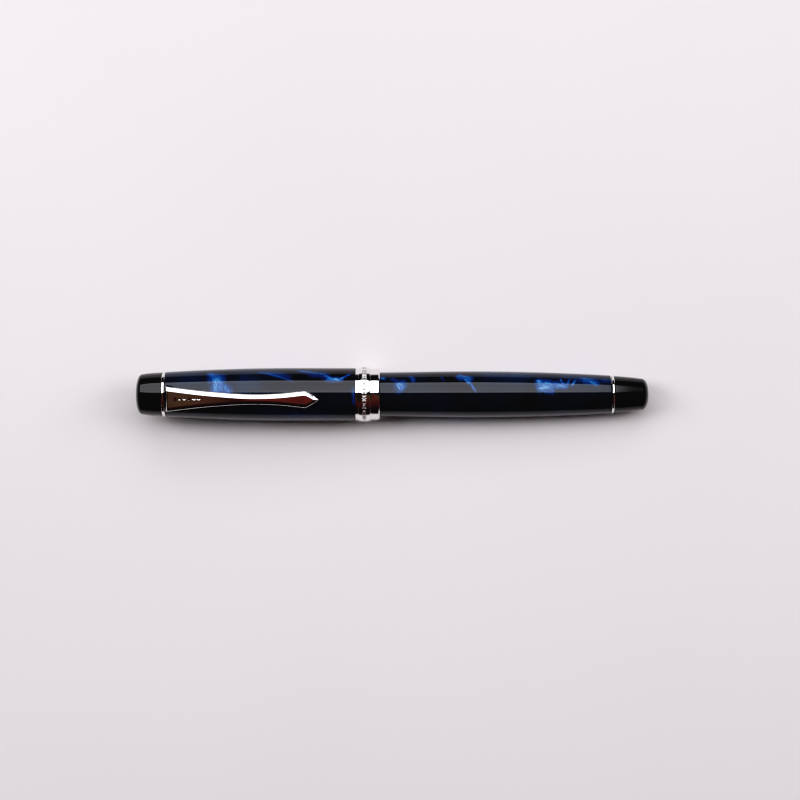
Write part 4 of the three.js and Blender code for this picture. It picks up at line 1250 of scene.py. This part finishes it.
def make_converter_knob():
    start, end = span("converter_knob")
    grip = span("converter_ferrule")[1] + 0.3
    bore, flange, rim, floor = 1.5, 3.2, 3.1, 2.98
    outline = [
        (end - 1, 0), (end - 1, bore), (start, bore), (start, flange), (start + 2.5, flange),
        (start + 2.5, KNOB_NECK), (grip, KNOB_NECK), (grip, rim), (grip + 1.2, rim),
        (grip + 1.2, floor), (end - 1.4, floor), (end - 1.4, rim), (end - 0.9, rim),
        *bend((end - 0.9, rim), (end, rim - 0.05), (end, 2.2), 10)[1:],
        (end - 0.12, 1.9), (end - 0.12, 0),
    ]
    piece = turned("converter_knob", soften(outline, 0.08), 96)
    middle = to_scene([((grip + 1.2 + end - 1.4) / 2, 0, 0)])[0]
    run_tree(
        piece, rib_tree(), Ribs=26, Rib_length=(end - grip - 2.8) * MM, Rib_radius=0.3 * MM,
        Ring_radius=2.96 * MM, Middle=tuple(middle), Finish=FINISHES["black_moulding"],
    )
    return dress(piece, "converter_knob", "black_moulding", "knob")


# ---------------------------------------------------------------- barrel and tail

NECK_RADIUS = 4.95
CAVITY_END, CAVITY_BORE = 121.55, 3.9
BARREL_THREAD_ROOT, BARREL_THREAD_CREST = 4.3, 4.0
TAIL_SOCKET_START, TAIL_SOCKET_BORE = 122.6, 3.0


def make_barrel():
    full = SHOULDER + 26.7
    neck = [(BARREL_FRONT + 0.35, NECK_RADIUS), (SHOULDER - 0.35, NECK_RADIUS)]
    front, rear = ends_of(SECTION_THREAD)
    front, rear = front - THREAD_RELIEF, rear + THREAD_RELIEF
    swell = easing(
        (SHOULDER + 0.16, SHOULDER_RADIUS), (SHOULDER + 8.7, SHOULDER_RADIUS),
        (full - 10, BARREL_BELLY), (full, BARREL_BELLY), 60,
    )
    taper = bend(
        (full, BARREL_BELLY), ((full + BARREL_END) / 2, BARREL_BELLY),
        (BARREL_END, BARREL_REAR), 60,
    )
    outline = [
        (CAVITY_END, 0), (CAVITY_END, CAVITY_BORE), (rear, CAVITY_BORE),
        *subdivided([(rear, BARREL_THREAD_ROOT), (front, BARREL_THREAD_ROOT)], 0.08),
        (front, BARREL_THREAD_CREST), (BARREL_FRONT, BARREL_THREAD_CREST), (BARREL_FRONT, 4.8),
        *subdivided(neck, FINE_STEP),
        (SHOULDER, NECK_RADIUS), (SHOULDER, SHOULDER_RADIUS - 0.14),
        *subdivided(swell, SKIN_STEP),
        *subdivided(taper, SKIN_STEP)[1:],
        (BARREL_END, TAIL_SOCKET_BORE), (TAIL_SOCKET_START, TAIL_SOCKET_BORE),
        (TAIL_SOCKET_START, 0),
    ]
    piece = turned("barrel", soften(outline, 0.05), 160)
    cut_thread(piece, NECK_RADIUS, 0.35, CAP_THREAD)
    cut_thread(piece, BARREL_THREAD_ROOT, -0.3, SECTION_THREAD)
    flecks = BARREL_FLECKS + strewn_flecks(29, CAP_MOUTH, BARREL_END, 18)
    marble(piece, flecks, BARREL_REAR - 0.25)
    return dress(piece, "barrel", "marbled_resin", "barrel_body")


def make_tail():
    start, end = span("tail")
    shoulder = span("tail_ring")[1] + SEAT
    spigot = TAIL_SOCKET_BORE - 0.1
    front = BARREL_REAR - 0.14
    corner = front - 0.70
    turn = end - 1.8
    outline = [
        (start, 0), (start, spigot), (shoulder, spigot), (shoulder, front - 0.05),
        (shoulder + 0.06, front),
        *bend((shoulder + 0.1, front), ((shoulder + turn) / 2, (front + corner) / 2 + 0.14),
              (turn, corner)),
        *rounded_end(end, turn, 1.2, corner)[::-1][1:],
        (end, 0),
    ]
    piece = turned("tail", soften(outline, 0.1), 192)
    return dress(piece, "tail", "black_resin", "tail_core")


# ---------------------------------------------------------------- assembly

make_crown()
make_ring("crown_ring", CROWN_RING_BORE, SHELL_FRONT, "cap_core")
make_cap_shell()
make_inner_cap()
make_cap_band()
make_clip_arm()
make_nib()
make_tipping()
make_feed()
make_section()
make_thread_collar()
make_ink_nipple()
make_converter_tube()
make_converter_ferrule()
make_piston_seal()
make_piston_rod()
make_converter_knob()
make_barrel()
make_ring("tail_ring", TAIL_SOCKET_BORE, BARREL_REAR, "tail_core", step=0.18)
make_tail()

KEPT = {"clip_mount": "polished_trim", "crown_screw": "grey_metal", "rod_guide": "black_moulding"}
for node, slot in KEPT.items():
    mesh = frame["nodes"][node].data
    mesh.materials.clear()
    mesh.materials.append(FINISHES[slot])


# ---------------------------------------------------------------- floor, light and camera

BELT_EDGE_STATION = span("cap_band")[0] + 4.05
REST_STATION = 112.0
REST_RADIUS = 5.66
BELT_EDGE_RADIUS = BELT - 0.15
TILT = math.atan((BELT_EDGE_RADIUS - REST_RADIUS) / (REST_STATION - BELT_EDGE_STATION))


FLOOR_REACH = 3.0
FLOOR_DARKENS = (0.045, 0.11)  # metres to the side of the pen where the painted dark reflection starts and where it is full


def make_floor():
    """A pale matt sheet, evenly pale to the camera and to lamps; a painted dark reflection: what
    gloss mirrors of it turns near black a hand's breadth away from the pen.
    """
    along = Vector((math.cos(TILT), 0, math.sin(TILT)))
    touch = Vector(to_scene([(BELT_EDGE_STATION, 0, -BELT_EDGE_RADIUS)])[0])
    corners = [touch + along * a * FLOOR_REACH + Vector((0, b * FLOOR_REACH, 0))
               for a, b in ((-1, -1), (1, -1), (1, 1), (-1, 1))]
    floor = new_mesh("floor", corners, [(0, 1, 2, 3)])
    material, bench, shader = new_finish("pale_floor")
    place = bench.place()
    pale = bench.ramp(bench.noise(place, 6, 2), [
        (0.3, (0.835, 0.805, 0.830)), (0.7, (0.855, 0.825, 0.850)),
    ])
    across = bench.math("ABSOLUTE", bench.node("ShaderNodeSeparateXYZ", place).outputs[1])
    mirrored = bench.node("ShaderNodeLightPath").outputs["Is Glossy Ray"]
    # Painted dark reflection: only gloss rays see the floor turn near black between 45 and 110 mm
    # from the pen.
    painted_dark_reflection = bench.math("MULTIPLY", bench.step(across, *FLOOR_DARKENS), mirrored)
    bench.feed(shader.inputs["Base Color"], bench.blend(painted_dark_reflection, pale, (0.02, 0.015, 0.014)))
    shader.inputs["Roughness"].default_value = 0.75
    shader.inputs["Specular IOR Level"].default_value = 0.1
    floor.data.materials.append(material)


TOWARDS_BACK = (0, 1)


def aim_at_pen(thing, degrees, distance, shift=0.0, heading=TOWARDS_BACK):
    """Places a lamp or a card over the pen, leaning from straight above towards a heading."""
    lean = math.radians(degrees)
    direction = Vector((heading[0] * math.sin(lean), heading[1] * math.sin(lean), math.cos(lean)))
    turn = (-direction).to_track_quat("-Z", "Y").to_matrix().to_4x4()
    spot = direction * distance + Vector((shift, 0, AXIS_HEIGHT))
    thing.matrix_world = Matrix.Translation(spot) @ turn


def area_light(name, degrees, distance, size, radiance, colour, heading=TOWARDS_BACK):
    """A soft lamp that lights surfaces and isn't mirrored in them."""
    light = bpy.data.lights.new(name, "AREA")
    light.shape = "RECTANGLE"
    light.size, light.size_y = size
    light.energy = radiance * math.pi * size[0] * size[1]
    light.color = colour
    lamp = in_scene(name, light)
    aim_at_pen(lamp, degrees, distance, heading=heading)
    lamp.visible_camera = False
    lamp.visible_glossy = False


SOFTBOX_LEAN = 35.0
SOFTBOX_DISTANCE = 0.8
SOFTBOX_HALF = (0.50, 0.43)
SOFTBOX_SHIFT = -0.10
SOFTBOX_CORNER = 2.7  # 2 would make it an ellipse
CLOTH_FADES = (-0.44, -0.29)  # metres from its middle, towards one side
CLOTH_GLOW = 3.3
SIDE_LAMP = {
    "degrees": 48, "distance": 0.9, "size": (0.38, 0.55), "colour": (1.0, 0.98, 0.985),
}


def make_softbox_face():
    """The softbox as gloss mirrors it: a glowing cloth with rounded corners and a soft rim."""
    turns = np.linspace(0, 2 * math.pi, 97)[:-1]
    power = 2 / SOFTBOX_CORNER
    rim = [(math.copysign(abs(math.cos(a)) ** power, math.cos(a)),
            math.copysign(abs(math.sin(a)) ** power, math.sin(a))) for a in turns]
    steps = (1.0, 0.97, 0.94, 0.6)
    points = [(x * k * SOFTBOX_HALF[0], y * k * SOFTBOX_HALF[1], 0) for k in steps for x, y in rim]
    faces = skin_faces(len(steps), len(rim))[:-2]
    last = (len(steps) - 1) * len(rim)
    faces.append(tuple(range(last, last + len(rim))))
    card = new_mesh("softbox_face", points, faces)
    aim_at_pen(card, SOFTBOX_LEAN, SOFTBOX_DISTANCE, SOFTBOX_SHIFT)
    give(card, "glow", np.repeat([0.0, 0.55, 1.0, 1.0], len(rim)))
    material = bpy.data.materials.new("softbox_cloth")
    material.use_nodes = True
    bench = Bench(material.node_tree)
    place = bench.place()
    apart = bench.node("ShaderNodeSeparateXYZ", place)
    high = bench.math("DIVIDE", apart.outputs[1], SOFTBOX_HALF[1])
    fade = bench.math("MULTIPLY_ADD", bench.step(apart.outputs[0], *CLOTH_FADES), 0.75, 0.25)
    cloth = bench.ramp(bench.math("MULTIPLY_ADD", high, 0.5, 0.5), [
        (0.02, (1.0, 1.0, 1.0)), (0.16, (0.86, 0.86, 0.86)), (0.42, (0.80, 0.80, 0.80)),
        (0.50, (0.90, 0.90, 0.90)), (0.60, (0.84, 0.84, 0.84)), (0.86, (0.92, 0.92, 0.92)),
        (0.98, (1.0, 1.0, 1.0)),
    ])
    glow = bench.attribute("glow").outputs["Fac"]
    strength = bench.math("MULTIPLY", bench.math("MULTIPLY", cloth, glow), fade)
    strength = bench.math("MULTIPLY", strength, CLOTH_GLOW)
    shine = bench.node("ShaderNodeEmission", (0.96, 0.955, 1.0, 1), strength)
    bench.node("ShaderNodeOutputMaterial", shine)
    card.data.materials.append(material)
    card.visible_camera = False
    card.visible_diffuse = False
    card.visible_transmission = False
    card.visible_shadow = False


def make_world():
    """A dark room in reflections, brown overhead and deep red lower down, and a faint warm fill."""
    world = bpy.data.worlds.new("room")
    world.use_nodes = True
    bench = Bench(world.node_tree)
    way = bench.node("ShaderNodeTexCoord").outputs["Generated"]
    apart = bench.node("ShaderNodeSeparateXYZ", way)
    lower = bench.math("MULTIPLY_ADD", apart.outputs[1], -0.5, 0.5)
    room = bench.ramp(lower, [
        (0.48, (0.008, 0.006, 0.006)),
        (0.53, (0.085, 0.060, 0.038)),
        (0.64, (0.105, 0.056, 0.034)),
        (0.76, (0.085, 0.026, 0.022)),
        (0.90, (0.060, 0.015, 0.018)),
        (0.965, (0.010, 0.004, 0.004)),
    ])
    shelves = bench.ramp(bench.math("MULTIPLY_ADD", apart.outputs[0], 5.0, 1.0), [
        (0.14, (0.034, 0.025, 0.016)),
        (0.27, (0.105, 0.070, 0.046)),
        (0.40, (0.090, 0.048, 0.034)),
        (0.50, (0.045, 0.015, 0.012)),
        (0.58, (0.160, 0.040, 0.035)),
        (0.78, (0.110, 0.032, 0.026)),
    ])
    left = bench.math("SUBTRACT", 1.0, bench.step(apart.outputs[0], -0.05, -0.02))
    near_top = bench.math("SUBTRACT", 1.0, bench.step(lower, 0.72, 0.80))
    share = bench.math("MULTIPLY", left, near_top)
    share = bench.math("MULTIPLY", share, bench.step(lower, 0.47, 0.51))
    room = bench.blend(share, room, shelves)
    seen = bench.node("ShaderNodeLightPath")
    reflected = bench.node("ShaderNodeBackground", room, 1.0)
    fill = bench.node("ShaderNodeBackground", (1.0, 0.86, 0.82, 1), 0.05)
    both = bench.node("ShaderNodeMixShader", seen.outputs["Is Glossy Ray"], fill, reflected)
    bench.node("ShaderNodeOutputWorld", both)
    bpy.context.scene.world = world


CAMERA_DISTANCE = 0.5817
CAMERA_AIM = (0.00204, -0.00153)
CAMERA_LENS = 97.6


def make_camera():
    """Straight above the pen, square to its axis."""
    data = bpy.data.cameras.new("camera")
    data.sensor_width = 36
    data.lens = CAMERA_LENS
    data.clip_start = 0.01
    data.clip_end = 20
    camera = in_scene("camera", data)
    camera.location = (*CAMERA_AIM, AXIS_HEIGHT + CAMERA_DISTANCE)
    bpy.context.scene.camera = camera


DARK_TONES = (
    (0.03, 0.0085), (0.06, 0.025), (0.10, 0.062), (0.20, 0.165), (0.45, 0.44),
)


def set_print_contrast():
    """Deepens the darkest tones, as a studio print does."""
    view = bpy.context.scene.view_settings
    view.view_transform = "Standard"
    view.use_curve_mapping = True
    curves = view.curve_mapping
    curves.extend = "EXTRAPOLATED"
    tone = curves.curves[3]
    tone.points[0].location = (0, 0.0023)
    for place, value in DARK_TONES:
        tone.points.new(place, value)
    curves.update()


make_floor()
make_softbox_face()
area_light("softbox", SOFTBOX_LEAN, SOFTBOX_DISTANCE, (0.9, 0.8), 1.9, (0.995, 0.995, 1.01))
area_light("left_lamp", radiance=5.9, heading=(-0.955, 0.30), **SIDE_LAMP)
area_light("right_lamp", radiance=4.4, heading=(0.955, 0.30), **SIDE_LAMP)
make_world()
make_camera()
set_print_contrast()
